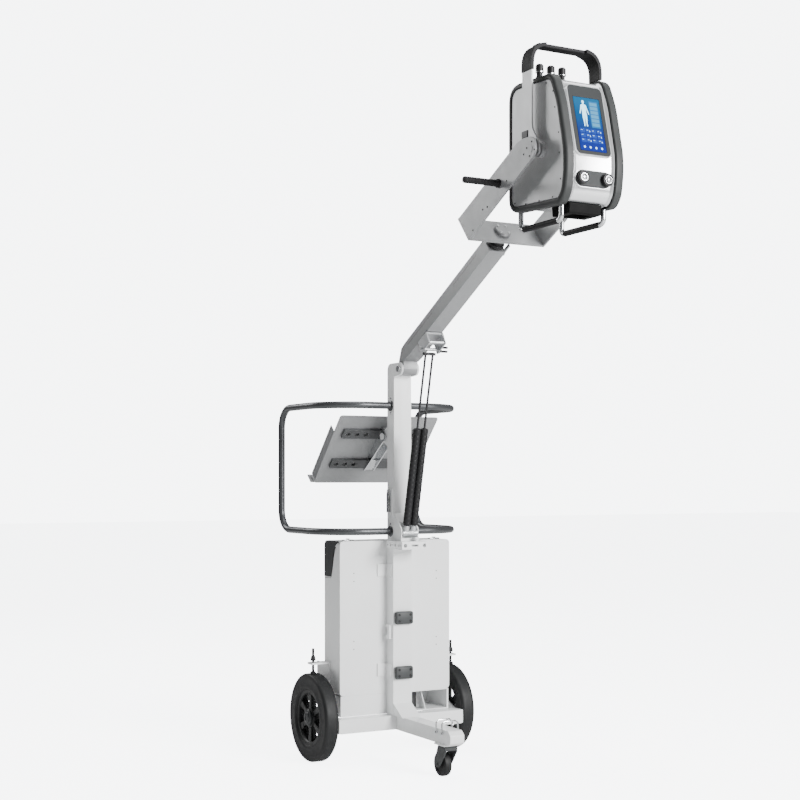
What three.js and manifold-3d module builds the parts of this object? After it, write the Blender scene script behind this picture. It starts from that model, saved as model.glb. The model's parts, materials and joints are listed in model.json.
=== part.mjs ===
// Mobile X-ray stand: an X-ray head in a yoke on a gas-sprung boom, carried by a column on a
// two-wheeled trolley with a detector box, a push handle and a laptop tray.
// Millimetres, +Z up, the front of the stand faces -Y and the wheel axle lies along X.
import * as THREE from 'three';
import { RoundedBoxGeometry } from 'three/addons/geometries/RoundedBoxGeometry.js';
import { mergeVertices } from 'three/addons/utils/BufferGeometryUtils.js';
import Module from 'manifold-3d';

const wasm = await Module();
wasm.setup();

// ---- driving dimensions: y = 0 is the front face of the lower column, z = 0 the floor ----
const GAP = 0.3;               // between pieces that touch

const WHEEL_R = 140;
const WHEEL_W = 40;
const WHEEL_X = 250;           // middle plane of each wheel
const AXLE_Y = 139;
const RIM_R = 88;
const STUB_R = 8;

const BEAM_LOW = 104;          // underside of the axle beam and of the front leg
const BEAM_TOP = 148;
const BEAM_HALF = 217.7;
const LEG_W = 48;
const LEG_END = -314;
const CASTER_Y = -284;
const CASTER_R = 37.5;
const CASTER_TRAIL = 30;

const COLUMN_W = 67;
const COLUMN_D = 46;
const COLUMN_TOP = 677.7;
const WALL = 3;

const BRACKET_TOP = 703;       // top face of the column joint bracket
const MAST_W = 62;             // upper column
const MAST_D = 45;
const MAST_TOP = 1266;

const BOX_HALF = 199;
const BOX_FRONT = 46.4;
const BOX_BACK = 158;
const BOX_LOW = 214;
const BOX_TOP = 702;

const BRAKE_X = 253;           // brake rods that press on the tyres
const BRAKE_Y = 130;

const HANDLE_R = 11;
const HANDLE_CORNER = 148;
const HANDLE_HALF = 254;
const HANDLE_BACK = 374;
const HANDLE_TOP_Z = 1132;
const HANDLE_LOW_Z = 732;

const PIVOT_Y = -33;           // boom pivot on the upper column
const PIVOT_Z = 1246;
const BOOM_TILT = 28.7;        // degrees above level, as stored
const BOOM_START = [-73.7, 1303.2];
const BOOM_W = 54;
const BOOM_H = 48;
const BOOM_LENGTH = 536;

// in the boom's own frame: [distance along the boom, height over its middle line]
const YOKE_FOOT = [584.5, 10];
const YOKE_SLANT = 11.2;       // degrees that the swivel axis stands above the boom
const YOKE_FOOT_HALF = 43.8;
const YOKE_HALF = 126;
const YOKE_PLATE = 6;
const YOKE_END = [957, -14];

const HEAD_PIVOT = [-919.8, 1750.5];
const HEAD_HALF = 92;
const SHELL_HALF = 66;
const SHELL_INSET = 10;        // the silver cover lies this far inside the bumpers
const HEAD_SIDE = [
  [-759, 1610, 45], [-759, 1954, 50], [-945, 1937, 25], [-990, 1878, 8], [-1013, 1787, 8],
  [-1026, 1680, 8], [-1017, 1622, 12], [-995, 1598, 10], [-930, 1610, 12],
];
const COVER_MIDDLE = [-994, 1823];
const COVER_SLOPE = 14.2;
const KNOB_MIDDLE = [-1014, 1666];
const SLEEVE_LOW = 1963;       // lower end of the black band of the carrying handle

const SPRING_FOOT = [-44, 728];
const SPRING_TOP = [-174, 1297];
const SPRING_X = 12.6;
const SPRING_R = 12.3;

const TRAY_HALF = 179;
const TRAY_LENGTH = 293;
const TRAY_MIDDLE = [182.5, 992.5];
const TRAY_SLOPE = 46.7;
const TRAY_PIVOT = [95, 1036];

// ---- finishes ----
function finish(colour, roughness, metalness) {
  return new THREE.MeshStandardMaterial({ color: colour, roughness, metalness });
}
const WHITE = finish(0xeceeed, 0.45, 0.1);
const GREY = finish(0xc4c6c6, 0.45, 0.2);
const SILVER = finish(0xd8dadb, 0.25, 0.8);
const DARK = finish(0x5a5f5e, 0.6, 0.1);
const TUBE = finish(0x585b5d, 0.4, 0.4);
const BLACK = finish(0x1b1e1e, 0.7, 0.0);
const TYRE = finish(0x222525, 0.9, 0.0);
const SCREEN = finish(0x1c62c0, 0.15, 0.0);
const IRON = finish(0x4a4c4d, 0.7, 0.6);
const STEEL = finish(0xaab0b2, 0.3, 0.9);
const TRAY = finish(0x858788, 0.5, 0.3);

// ---- shape helpers ----
function box(w, d, h, x = 0, y = 0, z = 0) {
  return new THREE.BoxGeometry(w, d, h).translate(x, y, z);
}

// A box given by its limits along x, y and z.
function span(x0, x1, y0, y1, z0, z1) {
  return box(x1 - x0, y1 - y0, z1 - z0, (x0 + x1) / 2, (y0 + y1) / 2, (z0 + z1) / 2);
}

function softBox(w, d, h, radius, x, y, z) {
  return new RoundedBoxGeometry(w, d, h, 1, radius).translate(x, y, z);
}

function rod(radius, length, axis, x, y, z, sides = 16) {
  const shape = new THREE.CylinderGeometry(radius, radius, length, sides);
  if (axis === 'x') shape.rotateZ(Math.PI / 2);
  if (axis === 'z') shape.rotateX(Math.PI / 2);
  return shape.translate(x, y, z);
}

// A round piece turned about its own axis; profile points are [radius, distance].
function turned(profile, axis, x, y, z, sides = 16) {
  const points = profile.map(([r, t]) => new THREE.Vector2(r, t));
  const shape = new THREE.LatheGeometry(points, sides);
  if (axis === 'x') shape.rotateZ(-Math.PI / 2);
  if (axis === 'z') shape.rotateX(Math.PI / 2);
  return shape.translate(x, y, z);
}

// An outline with rounded corners; each corner is [a, b, radius].
function outline(corners) {
  const shape = new THREE.Shape();
  corners.forEach(([a, b, r = 0], i) => {
    const here = new THREE.Vector2(a, b);
    const last = new THREE.Vector2(...corners.at(i - 1));
    const next = new THREE.Vector2(...corners[(i + 1) % corners.length]);
    const into = here.clone().add(last.sub(here).setLength(r));
    const out = here.clone().add(next.sub(here).setLength(r));
    if (i === 0) shape.moveTo(into.x, into.y);
    else shape.lineTo(into.x, into.y);
    if (r > 0) shape.quadraticCurveTo(a, b, out.x, out.y);
  });
  shape.closePath();
  return shape;
}

// A plate whose outline lies in the YZ plane, between x0 and x1.
function sidePlate(shape, x0, x1, curveSegments = 5) {
  const plate = new THREE.ExtrudeGeometry(shape, { depth: x1 - x0, bevelEnabled: false, curveSegments });
  return plate.rotateX(Math.PI / 2).rotateZ(Math.PI / 2).translate(x0, 0, 0);
}

// A plate whose outline lies in the XY plane, between z0 and z1.
function flatPlate(shape, z0, z1, curveSegments = 6) {
  return new THREE.ExtrudeGeometry(shape, { depth: z1 - z0, bevelEnabled: false, curveSegments })
    .translate(0, 0, z0);
}

// A plate whose outline lies in the XZ plane, between y0 and y1.
function frontPlate(shape, y0, y1, curveSegments = 6) {
  return new THREE.ExtrudeGeometry(shape, { depth: y1 - y0, bevelEnabled: false, curveSegments })
    .rotateX(Math.PI / 2).translate(0, y1, 0);
}

function circle(radius, x = 0, y = 0) {
  return new THREE.Shape().absarc(x, y, radius, 0, 2 * Math.PI);
}

function boxOutline(halfW, halfH, radius, x = 0, y = 0) {
  return outline([
    [x - halfW, y - halfH, radius],
    [x + halfW, y - halfH, radius],
    [x + halfW, y + halfH, radius],
    [x - halfW, y + halfH, radius],
  ]);
}

// The same corners moved inward by a distance; corners run clockwise seen from +X.
function inset(corners, distance) {
  return corners.map(([a, b, r], i) => {
    const [la, lb] = corners.at(i - 1);
    const [na, nb] = corners[(i + 1) % corners.length];
    const into = new THREE.Vector2(a - la, b - lb).normalize();
    const out = new THREE.Vector2(na - a, nb - b).normalize();
    const shift = distance * Math.tan(into.angleTo(out) / 2);
    const turn = new THREE.Vector2(-into.y, into.x).multiplyScalar(distance);
    return [a + turn.x - into.x * shift, b + turn.y - into.y * shift, Math.max(r - distance / 2, 3)];
  });
}

// A round bar that follows straight stretches joined by bends; each stop is [x, y, z, bend radius].
function bentBar(stops, radius, halfSides = 5, step = 22) {
  const points = [];
  stops.forEach(([x, y, z, bend = 0], i) => {
    const here = new THREE.Vector3(x, y, z);
    if (i === 0 || i === stops.length - 1 || bend === 0) {
      points.push(here);
      return;
    }
    const into = new THREE.Vector3(...stops[i - 1]).sub(here).normalize();
    const out = new THREE.Vector3(...stops[i + 1]).sub(here).normalize();
    const half = into.angleTo(out) / 2;
    const centre = here.clone().add(into.clone().add(out).setLength(bend / Math.sin(half)));
    const start = here.clone().addScaledVector(into, bend / Math.tan(half)).sub(centre);
    const end = here.clone().addScaledVector(out, bend / Math.tan(half)).sub(centre);
    const turn = start.angleTo(end);
    for (let k = 0; k <= 6; k += 1) {
      const a = Math.sin((1 - k / 6) * turn) / Math.sin(turn);
      const b = Math.sin((k / 6) * turn) / Math.sin(turn);
      points.push(centre.clone().addScaledVector(start, a).addScaledVector(end, b));
    }
  });
  const path = new THREE.CurvePath();
  for (let i = 1; i < points.length; i += 1) {
    path.add(new THREE.LineCurve3(points[i - 1], points[i]));
  }
  const section = new THREE.Shape().absarc(0, 0, radius, 0, 2 * Math.PI);
  return new THREE.ExtrudeGeometry(section, {
    steps: Math.ceil(path.getLength() / step),
    curveSegments: halfSides,
    extrudePath: path,
  });
}

function solid(geometry) {
  const bare = geometry.clone();
  bare.deleteAttribute('normal');
  bare.deleteAttribute('uv');
  const merged = mergeVertices(bare, 1e-4);
  const mesh = new wasm.Mesh({
    numProp: 3,
    vertProperties: new Float32Array(merged.attributes.position.array),
    triVerts: new Uint32Array(merged.index.array),
  });
  return new wasm.Manifold(mesh);
}

function geometryOf(body) {
  const mesh = body.getMesh();
  const geometry = new THREE.BufferGeometry();
  geometry.setAttribute('position', new THREE.BufferAttribute(mesh.vertProperties, 3));
  geometry.setIndex(new THREE.BufferAttribute(mesh.triVerts, 1));
  return geometry;
}

function cut(base, ...tools) {
  return geometryOf(tools.reduce((body, tool) => body.subtract(solid(tool)), solid(base)));
}

function join(base, ...more) {
  return geometryOf(more.reduce((body, piece) => body.add(solid(piece)), solid(base)));
}

function common(base, other) {
  return geometryOf(solid(base).intersect(solid(other)));
}

const stand = new THREE.Group();

function place(parent, name, geometry, material) {
  const mesh = new THREE.Mesh(geometry, material);
  mesh.name = name;
  parent.add(mesh);
}

// A group whose local -Y runs up the slope, starting at a point of the YZ plane.
function slopedGroup([y, z], degrees) {
  const group = new THREE.Group();
  group.position.set(0, y, z);
  group.rotation.x = -THREE.MathUtils.degToRad(degrees);
  stand.add(group);
  return group;
}

const SIDES = [['left', -1], ['right', 1]];

// ---- trolley base: welded axle beam with its end plates, and the front leg ----
function trolleyBase() {
  const beamLength = 2 * BEAM_HALF;
  const middleZ = (BEAM_LOW + BEAM_TOP) / 2;
  const pieces = [];
  for (const [, way] of SIDES) {
    const plate = outline([
      [0, BEAM_LOW, 6],
      [164, BEAM_LOW, 20],
      [172, 172, 20],
      [106, 172, 12],
      [50, BEAM_TOP, 6],
      [0, BEAM_TOP, 3],
    ]);
    const [x0, x1] = way < 0 ? [-BEAM_HALF - 6, 1 - BEAM_HALF] : [BEAM_HALF - 1, BEAM_HALF + 6];
    pieces.push(sidePlate(plate, x0, x1, 3));
    pieces.push(rod(13, 12, 'x', way * BEAM_HALF, AXLE_Y, WHEEL_R));
    pieces.push(rod(STUB_R, 36, 'x', way * (BEAM_HALF + 20), AXLE_Y, WHEEL_R));
  }
  const beam = cut(
    box(beamLength, COLUMN_D, BEAM_TOP - BEAM_LOW),
    box(beamLength + 2, COLUMN_D - 2 * WALL, BEAM_TOP - BEAM_LOW - 2 * WALL),
    box(12, 60, 12, 0, COLUMN_D / 2, 0),
  );
  place(stand, 'axle_beam', join(beam.translate(0, COLUMN_D / 2, middleZ), ...pieces), WHITE);

  const legLength = -LEG_END - GAP;
  const leg = cut(
    box(LEG_W, legLength, BEAM_TOP - BEAM_LOW),
    box(LEG_W - 2 * WALL, legLength + 2, BEAM_TOP - BEAM_LOW - 2 * WALL),
  );
  const nose = outline([
    [LEG_END + 2, BEAM_LOW],
    [LEG_END + 2, BEAM_TOP],
    [LEG_END - 12, BEAM_TOP, 3],
    [LEG_END - 26, BEAM_TOP - 13, 3],
    [LEG_END - 26, BEAM_LOW + 8, 3],
    [LEG_END - 14, BEAM_LOW, 3],
  ]);
  const casterPlate = cut(
    softBox(62, 62, 5, 1.5, 0, CASTER_Y, BEAM_LOW - 2),
    rod(6, 20, 'z', 0, CASTER_Y, BEAM_LOW - 8),
  );
  const frontLeg = join(
    leg.translate(0, LEG_END + legLength / 2, middleZ),
    sidePlate(nose, -LEG_W / 2, LEG_W / 2, 2),
    casterPlate,
  );
  place(stand, 'front_leg', frontLeg, WHITE);
}

// ---- wheels: a spoked rim, a rubber tyre and a hub cap ----
function wheels() {
  for (const [side, way] of SIDES) {
    const rim = circle(RIM_R);
    rim.holes.push(circle(STUB_R + 0.6));
    const spokes = 6;
    for (let i = 0; i < spokes; i += 1) {
      const middle = (i * 2 * Math.PI) / spokes;
      const half = Math.PI / spokes;
      const outer = half - 0.16;
      const inner = half - 0.36;
      const corner = (radius, angle) => new THREE.Vector2(
        radius * Math.cos(middle + angle),
        radius * Math.sin(middle + angle),
      );
      rim.holes.push(new THREE.Path([
        ...[-1, -0.5, 0, 0.5, 1].map((t) => corner(RIM_R - 12, t * outer)),
        ...[1, 0, -1].map((t) => corner(33, t * inner)),
      ]));
    }
    const cap = turned([[0, 10], [24, 10], [24, 16], [18, 22], [8, 24.5], [0, 24.5]], 'x', 0, 0, 0);
    if (way < 0) cap.rotateZ(Math.PI);
    const disc = join(sidePlate(rim, -13, 13, 12), cap);
    place(stand, `wheel_rim_${side}`, disc.translate(way * WHEEL_X, AXLE_Y, WHEEL_R), BLACK);

    const w = WHEEL_W / 2;
    const band = [
      [RIM_R + 1, 5 - w], [RIM_R + 6, -w], [WHEEL_R - 4, -w], [WHEEL_R, 5 - w],
      [WHEEL_R, w - 5], [WHEEL_R - 4, w], [RIM_R + 6, w], [RIM_R + 1, w - 5],
      [RIM_R + 1, 5 - w],
    ];
    place(stand, `tyre_${side}`, turned(band, 'x', way * WHEEL_X, AXLE_Y, WHEEL_R, 36), TYRE);
  }
}

// ---- swivel caster under the front leg, and the two foot bails above it ----
function frontCaster() {
  const wheelY = CASTER_Y + CASTER_TRAIL;
  const profile = outline([
    [CASTER_Y - 22, 97, 6],
    [CASTER_Y - 22, 82, 6],
    [wheelY - 13, CASTER_R - 8, 8],
    [wheelY + 13, CASTER_R - 8, 8],
    [wheelY + 13, CASTER_R + 12, 10],
    [CASTER_Y + 24, 97, 6],
  ]);
  const channel = new THREE.Shape([
    new THREE.Vector2(-21, 20), new THREE.Vector2(-17, 20), new THREE.Vector2(-17, 84),
    new THREE.Vector2(17, 84), new THREE.Vector2(17, 20), new THREE.Vector2(21, 20),
    new THREE.Vector2(21, 97), new THREE.Vector2(-21, 97),
  ]);
  const fork = common(
    frontPlate(channel, CASTER_Y - 60, CASTER_Y + 80),
    sidePlate(profile, -30, 30),
  );
  const pins = [rod(5, 12, 'z', 0, CASTER_Y, 98), rod(4, 48, 'x', 0, wheelY, CASTER_R)];
  place(stand, 'caster_fork', join(fork, ...pins), DARK);

  const tread = [
    [4.8, -12], [CASTER_R - 3, -12], [CASTER_R, -8], [CASTER_R, 8], [CASTER_R - 3, 12],
    [4.8, 12], [4.8, -12],
  ];
  place(stand, 'caster_wheel', turned(tread, 'x', 0, wheelY, CASTER_R, 28), TYRE);

  for (const [name, y] of [['foot_bail_front', -296], ['foot_bail_rear', -262]]) {
    const bail = bentBar([
      [-28, y, 140], [-28, y, 172, 8], [28, y, 172, 8], [28, y, 140],
    ], 2.6, 4, 14);
    const eye = (x) => rod(5, 4, 'x', x, y, 138, 12);
    place(stand, name, join(bail, eye(-27.6), eye(27.6)), STEEL);
  }
}

// ---- lower column with its welded gusset, box brackets and hook, and the joint on top ----
function lowerColumn() {
  const height = COLUMN_TOP - BEAM_TOP - GAP;
  const tube = cut(
    box(COLUMN_W, COLUMN_D, height),
    box(COLUMN_W - 2 * WALL, COLUMN_D - 2 * WALL, height).translate(0, 0, -4),
  );
  const gusset = outline([
    [1, BEAM_TOP + GAP],
    [1, BEAM_TOP + 38],
    [-60, BEAM_TOP + GAP],
  ]);
  const side = 1 - COLUMN_W / 2;
  const angle = new THREE.Shape([
    new THREE.Vector2(side, 8), new THREE.Vector2(side, BOX_FRONT - 1),
    new THREE.Vector2(side - 35, BOX_FRONT - 1), new THREE.Vector2(side - 35, BOX_FRONT - 4),
    new THREE.Vector2(side - 4, BOX_FRONT - 4), new THREE.Vector2(side - 4, 8),
  ]);
  const hook = new THREE.Shape([
    new THREE.Vector2(10, 436), new THREE.Vector2(34, 436), new THREE.Vector2(34, 428),
    new THREE.Vector2(22, 424), new THREE.Vector2(22, 404), new THREE.Vector2(34, 400),
    new THREE.Vector2(34, 391), new THREE.Vector2(10, 391),
  ]);
  const column = join(
    tube.translate(0, COLUMN_D / 2, BEAM_TOP + GAP + height / 2),
    sidePlate(gusset, -33, 33),
    flatPlate(angle, 588, 628),
    flatPlate(angle, 270, 310),
    sidePlate(hook, side - 10, side),
  );
  place(stand, 'lower_column', column, WHITE);

  for (const [name, z] of [['clamp_block_upper', 458], ['clamp_block_lower', 284]]) {
    place(stand, name, softBox(63, 17, 41, 6, 0, -8.5 - GAP, z), DARK);
  }

  const half = 46.5;
  const block = cut(
    span(-half, half, -82, 22, COLUMN_TOP + GAP, BRACKET_TOP),
    rod(6, 40, 'y', 34, -80, 690, 12),
    rod(6, 40, 'y', -34, -80, 690, 12),
    span(-12, 12, -100, -66, 687, 693),
    rod(5, 20, 'x', -half, -60, 690, 12),
    rod(5, 20, 'x', -half, -35, 690, 12),
    rod(5, 20, 'x', -half, -5, 690, 12),
  );
  const knob = turned([
    [0, -2], [6, -2], [6, 3], [9, 5], [9, 11], [7, 13], [0, 13],
  ], 'z', 14, -64, BRACKET_TOP);
  place(stand, 'column_joint_bracket', join(block, knob), WHITE);
}

function detectorBox() {
  // outline of the dark cover let into the upper rear of the box's left side
  const recess = (gap) => outline([
    [BOX_BACK - 3 - gap, 582 + gap], [108 + gap, 582 + gap, 4], [84 + gap, 672 - gap, 20],
    [58 + 3 * gap, 684 - gap, 4], [BOX_BACK - 3 - gap, 684 - gap, 12],
  ]);
  const corners = boxOutline(BOX_HALF, (BOX_TOP - BOX_LOW) / 2, 14, 0, (BOX_TOP + BOX_LOW) / 2);
  const shell = cut(
    frontPlate(corners, BOX_FRONT, BOX_BACK),
    span(-195, 195, BOX_FRONT + WALL, BOX_BACK - WALL, BOX_LOW + 4, BOX_TOP - 4),
    span(-194, 194, 84, 124, BOX_TOP - 20, BOX_TOP + 10),
    sidePlate(recess(0), -BOX_HALF - 5, -196.3),
  );
  place(stand, 'detector_box', shell, WHITE);

  place(stand, 'box_grip_cover', sidePlate(recess(0.6), -BOX_HALF, -196.8), DARK);

  place(stand, 'flat_panel_detector', softBox(384, 16, 460, 5, 0, 104, BOX_LOW + 4 + GAP + 230), DARK);

  for (const [side, way] of SIDES) {
    const latch = join(
      softBox(38, 14, 4, 1.5, way * 157, 76, BOX_TOP + 2 + GAP),
      rod(6, 6, 'z', way * 157, 76, BOX_TOP + 4.4, 12),
    );
    place(stand, `detector_latch_${side}`, latch, STEEL);
  }

  // housing under the box: covered at the front left, open at the front right
  const low = BEAM_TOP + GAP;
  const wing = outline([[COLUMN_D + 2, 150], [92, 150], [92, 206], [78, 206]]);
  const pieces = [sidePlate(wing, 110, 113)];
  const bores = [];
  for (const [, way] of SIDES) {
    const wall = way * (BOX_HALF + 2.3);
    pieces.push(box(62, 34, 6, way * 233.3, BRAKE_Y, 313));
    pieces.push(box(4, 86, 78, wall, 163, 271));
    pieces.push(box(4, 34, 110, wall, BRAKE_Y + 6, 220));
    pieces.push(box(10, 34, 34, way * 198.3, BRAKE_Y + 6, 188));
    bores.push(rod(5, 30, 'z', way * BRAKE_X, BRAKE_Y, 313));
  }
  const housing = cut(
    span(-196, 196, COLUMN_D + 1, 184, low, BOX_LOW - GAP),
    span(-193, 193, COLUMN_D + 4, 181, low + 3, BOX_LOW - 3),
    span(3, 190, COLUMN_D - 5, COLUMN_D + 8, low + 3, BOX_LOW - 3),
    rod(12, 20, 'y', 60, 182, 180),
  );
  place(stand, 'base_housing', cut(join(housing, ...pieces), ...bores), WHITE);
  place(stand, 'counterweight', span(-188, 106, 100, 178, low + 3 + GAP, 206), IRON);

  for (const [side, way] of SIDES) {
    place(stand, `brake_plunger_${side}`, turned([
      [0, 0], [9, 0], [9, 5], [4, 8], [4, 41], [8, 41.4], [6, 55], [4, 56], [4, 80], [0, 80],
    ], 'z', way * BRAKE_X, BRAKE_Y, 2 * WHEEL_R + 0.6, 12), BLACK);
  }
}

// ---- upper column with its cheeks for the boom pivot, and the push handle ----
function upperColumn() {
  const side = new THREE.Shape();
  side.moveTo(0, BRACKET_TOP + GAP);
  side.lineTo(MAST_D, BRACKET_TOP + GAP);
  side.lineTo(MAST_D, MAST_TOP - 24);
  side.quadraticCurveTo(MAST_D, MAST_TOP, MAST_D - 24, MAST_TOP);
  side.lineTo(PIVOT_Y, MAST_TOP);
  side.absarc(PIVOT_Y, PIVOT_Z, 20, Math.PI / 2, 1.5 * Math.PI);
  side.lineTo(0, PIVOT_Z - 22);
  side.lineTo(0, 790);
  side.lineTo(-48, 742);
  side.lineTo(-48, BRACKET_TOP + GAP);
  side.closePath();
  const half = MAST_W / 2;
  const trayMount = outline([
    [MAST_D - 1, 990, 2], [MAST_D - 1, 1074, 2], [TRAY_PIVOT[0], 1060, 8],
    [TRAY_PIVOT[0] + 16, 1040, 10], [TRAY_PIVOT[0] + 6, 1016, 10], [70, 1000, 8],
  ]);
  const mast = cut(
    sidePlate(side, -half, half, 8),
    span(-half + WALL, half - WALL, WALL, MAST_D - WALL, BRACKET_TOP - 5, 1200),
    span(-25, 25, -80, 10, PIVOT_Z - 20.6, MAST_TOP + 10),
    rod(20.6, 50, 'x', 0, PIVOT_Y, PIVOT_Z, 28),
    rod(7.3, 100, 'x', 0, PIVOT_Y, PIVOT_Z),
    span(-28, 28, -60, -28, 712, 780),
  );
  const fittings = [
    rod(6, 60, 'x', 0, ...SPRING_FOOT),
    span(-half - 3, 1 - half, 8, 34, 778, 868),
    sidePlate(trayMount, -14, 14, 3),
    rod(6, 54, 'x', 0, ...TRAY_PIVOT),
    rod(10, 5.5, 'x', -24.3, ...TRAY_PIVOT),
    rod(10, 5.5, 'x', 24.3, ...TRAY_PIVOT),
  ];
  place(stand, 'upper_column', join(mast, ...fittings), WHITE);
  place(stand, 'boom_pivot_bolt', turned([
    [0, -37], [11, -37], [11, -31.5], [7, -31.5], [7, 31.5], [11, 31.5], [11, 37], [0, 37],
  ], 'x', 0, PIVOT_Y, PIVOT_Z), STEEL);

  for (const [sideName, way] of SIDES) {
    const x = way * HANDLE_HALF;
    const root = way * (half + GAP);
    const bar = bentBar([
      [root, 22, HANDLE_TOP_Z],
      [x, 22, HANDLE_TOP_Z, HANDLE_CORNER],
      [x, HANDLE_BACK, HANDLE_TOP_Z, 66],
      [x, HANDLE_BACK, HANDLE_LOW_Z, 66],
      [x, 22, HANDLE_LOW_Z, HANDLE_CORNER],
      [root, 22, HANDLE_LOW_Z],
    ], HANDLE_R);
    place(stand, `push_handle_${sideName}`, bar, TUBE);
  }

  const lever = outline([
    [14, 792, 3], [28, 792, 3], [28, 850, 4], [24, 866, 3], [18, 866, 3], [14, 850, 4],
  ]);
  place(stand, 'column_latch', sidePlate(lever, -half - 13, -half - 3.4, 3), STEEL);
}

// ---- laptop tray on its tilting bracket ----
function laptopTray() {
  const tray = slopedGroup(TRAY_MIDDLE, TRAY_SLOPE);
  const half = TRAY_LENGTH / 2;
  const plate = join(
    flatPlate(boxOutline(TRAY_HALF, half, 10), 0, 3),
    span(-TRAY_HALF - 12, TRAY_HALF + 12, half - 4, half - 1, 1, 36),
    span(-TRAY_HALF, -TRAY_HALF + 3, 70 - half, half - 12, 1, 34),
    span(TRAY_HALF - 3, TRAY_HALF, 70 - half, half - 12, 1, 34),
  );
  place(tray, 'tray_plate', plate, TRAY);

  const rails = [-76, 54].map((y) => {
    const rail = boxOutline(150, 18, 3, 0, y);
    for (const x of [-132, -100, -68, 68, 100, 132]) rail.holes.push(circle(8, x, y));
    return flatPlate(rail, -9.3, -GAP, 4);
  });

  // two cheeks and a back strap, from the pivot bolt up to the underside of the tray
  const pivot = new THREE.Vector3(0, TRAY_PIVOT[0] - TRAY_MIDDLE[0], TRAY_PIVOT[1] - TRAY_MIDDLE[1]);
  pivot.applyAxisAngle(new THREE.Vector3(1, 0, 0), THREE.MathUtils.degToRad(TRAY_SLOPE));
  const cheek = outline([
    [-104, -GAP], [84, -GAP], [84, -9, 3], [pivot.y + 18, pivot.z - 8, 7],
    [pivot.y, pivot.z - 18, 8], [pivot.y - 14, pivot.z - 6, 7],
  ]);
  cheek.holes.push(circle(6.4, pivot.y, pivot.z));
  const strap = span(-19, 19, -90, 84, -3 - GAP, -GAP);
  const bracket = join(sidePlate(cheek, -19, -15), sidePlate(cheek, 15, 19), strap, ...rails);
  place(tray, 'tray_bracket', bracket, DARK);
}

// ---- boom, its knuckle and the clevis for the gas springs ----
function boomArm() {
  const [startY, startZ] = BOOM_START;
  const pinHole = rod(7.3, 80, 'x', 0, PIVOT_Y, PIVOT_Z);
  const barrel = rod(19.6, 49.4, 'x', 0, PIVOT_Y, PIVOT_Z, 32);
  const neck = outline([
    [-24, 1268.8], [-40, 1309, 3], [-62.2, 1324.2], [-85.2, 1282.2], [-54, 1268.8],
  ]);
  const throat = outline([
    [-15, 1252], [-24, 1275], [-54, 1275], [-52, 1250],
  ]);
  const tube = cut(
    box(BOOM_W, BOOM_LENGTH, BOOM_H),
    box(BOOM_W - 2 * WALL, BOOM_LENGTH + 2, BOOM_H - 2 * WALL),
  );
  tube.translate(0, -BOOM_LENGTH / 2, 0).rotateX(-THREE.MathUtils.degToRad(BOOM_TILT));
  const slant = BOOM_H * Math.tan(THREE.MathUtils.degToRad(YOKE_SLANT));
  const endCap = outline([
    [6 - BOOM_LENGTH, -BOOM_H / 2], [6 - BOOM_LENGTH, BOOM_H / 2],
    [-BOOM_LENGTH, BOOM_H / 2, 2], [-BOOM_LENGTH - slant, -BOOM_H / 2, 2],
  ]);
  const cap = sidePlate(endCap, -BOOM_W / 2, BOOM_W / 2, 2);
  cap.rotateX(-THREE.MathUtils.degToRad(BOOM_TILT));
  const arm = join(
    tube.translate(0, startY, startZ),
    cap.translate(0, startY, startZ),
    barrel,
    sidePlate(neck, -BOOM_W / 2, BOOM_W / 2),
    sidePlate(throat, -24.7, 24.7),
  );
  place(stand, 'boom', cut(arm, pinHole), GREY);

  const boom = slopedGroup([startY, startZ], BOOM_TILT);
  // local frame of the boom: -Y along the boom, Z away from its underside
  const under = -BOOM_H / 2 - GAP;
  const clevis = new THREE.Shape([
    new THREE.Vector2(-30, under), new THREE.Vector2(-30, under - 40),
    new THREE.Vector2(-26, under - 40), new THREE.Vector2(-26, under - 7),
    new THREE.Vector2(26, under - 7), new THREE.Vector2(26, under - 40),
    new THREE.Vector2(30, under - 40), new THREE.Vector2(30, under),
  ]);
  const topPin = [-85, -53.6];
  const clevisBody = join(
    frontPlate(clevis, -136, -77),
    rod(5, 60, 'x', 0, ...topPin),
    rod(8, 5, 'x', -31, ...topPin),
    rod(5, 60, 'x', 0, -128, -56),
  );
  place(boom, 'spring_clevis', clevisBody, SILVER);
  const lever = join(
    span(30.4, 36, -95, -77, -62, -45),
    softBox(30, 7, 6, 2, 48, -90, -48),
    softBox(30, 7, 6, 2, 48, -83, -58),
  );
  place(boom, 'clevis_lever', lever, BLACK);

  const clamp = join(
    rod(8, 14, 'x', BOOM_W / 2 + GAP + 7, -518, -5),
    softBox(6, 54, 10, 2, 38, -530, -6),
  );
  place(boom, 'swivel_clamp_lever', clamp, GREY);
}

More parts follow.
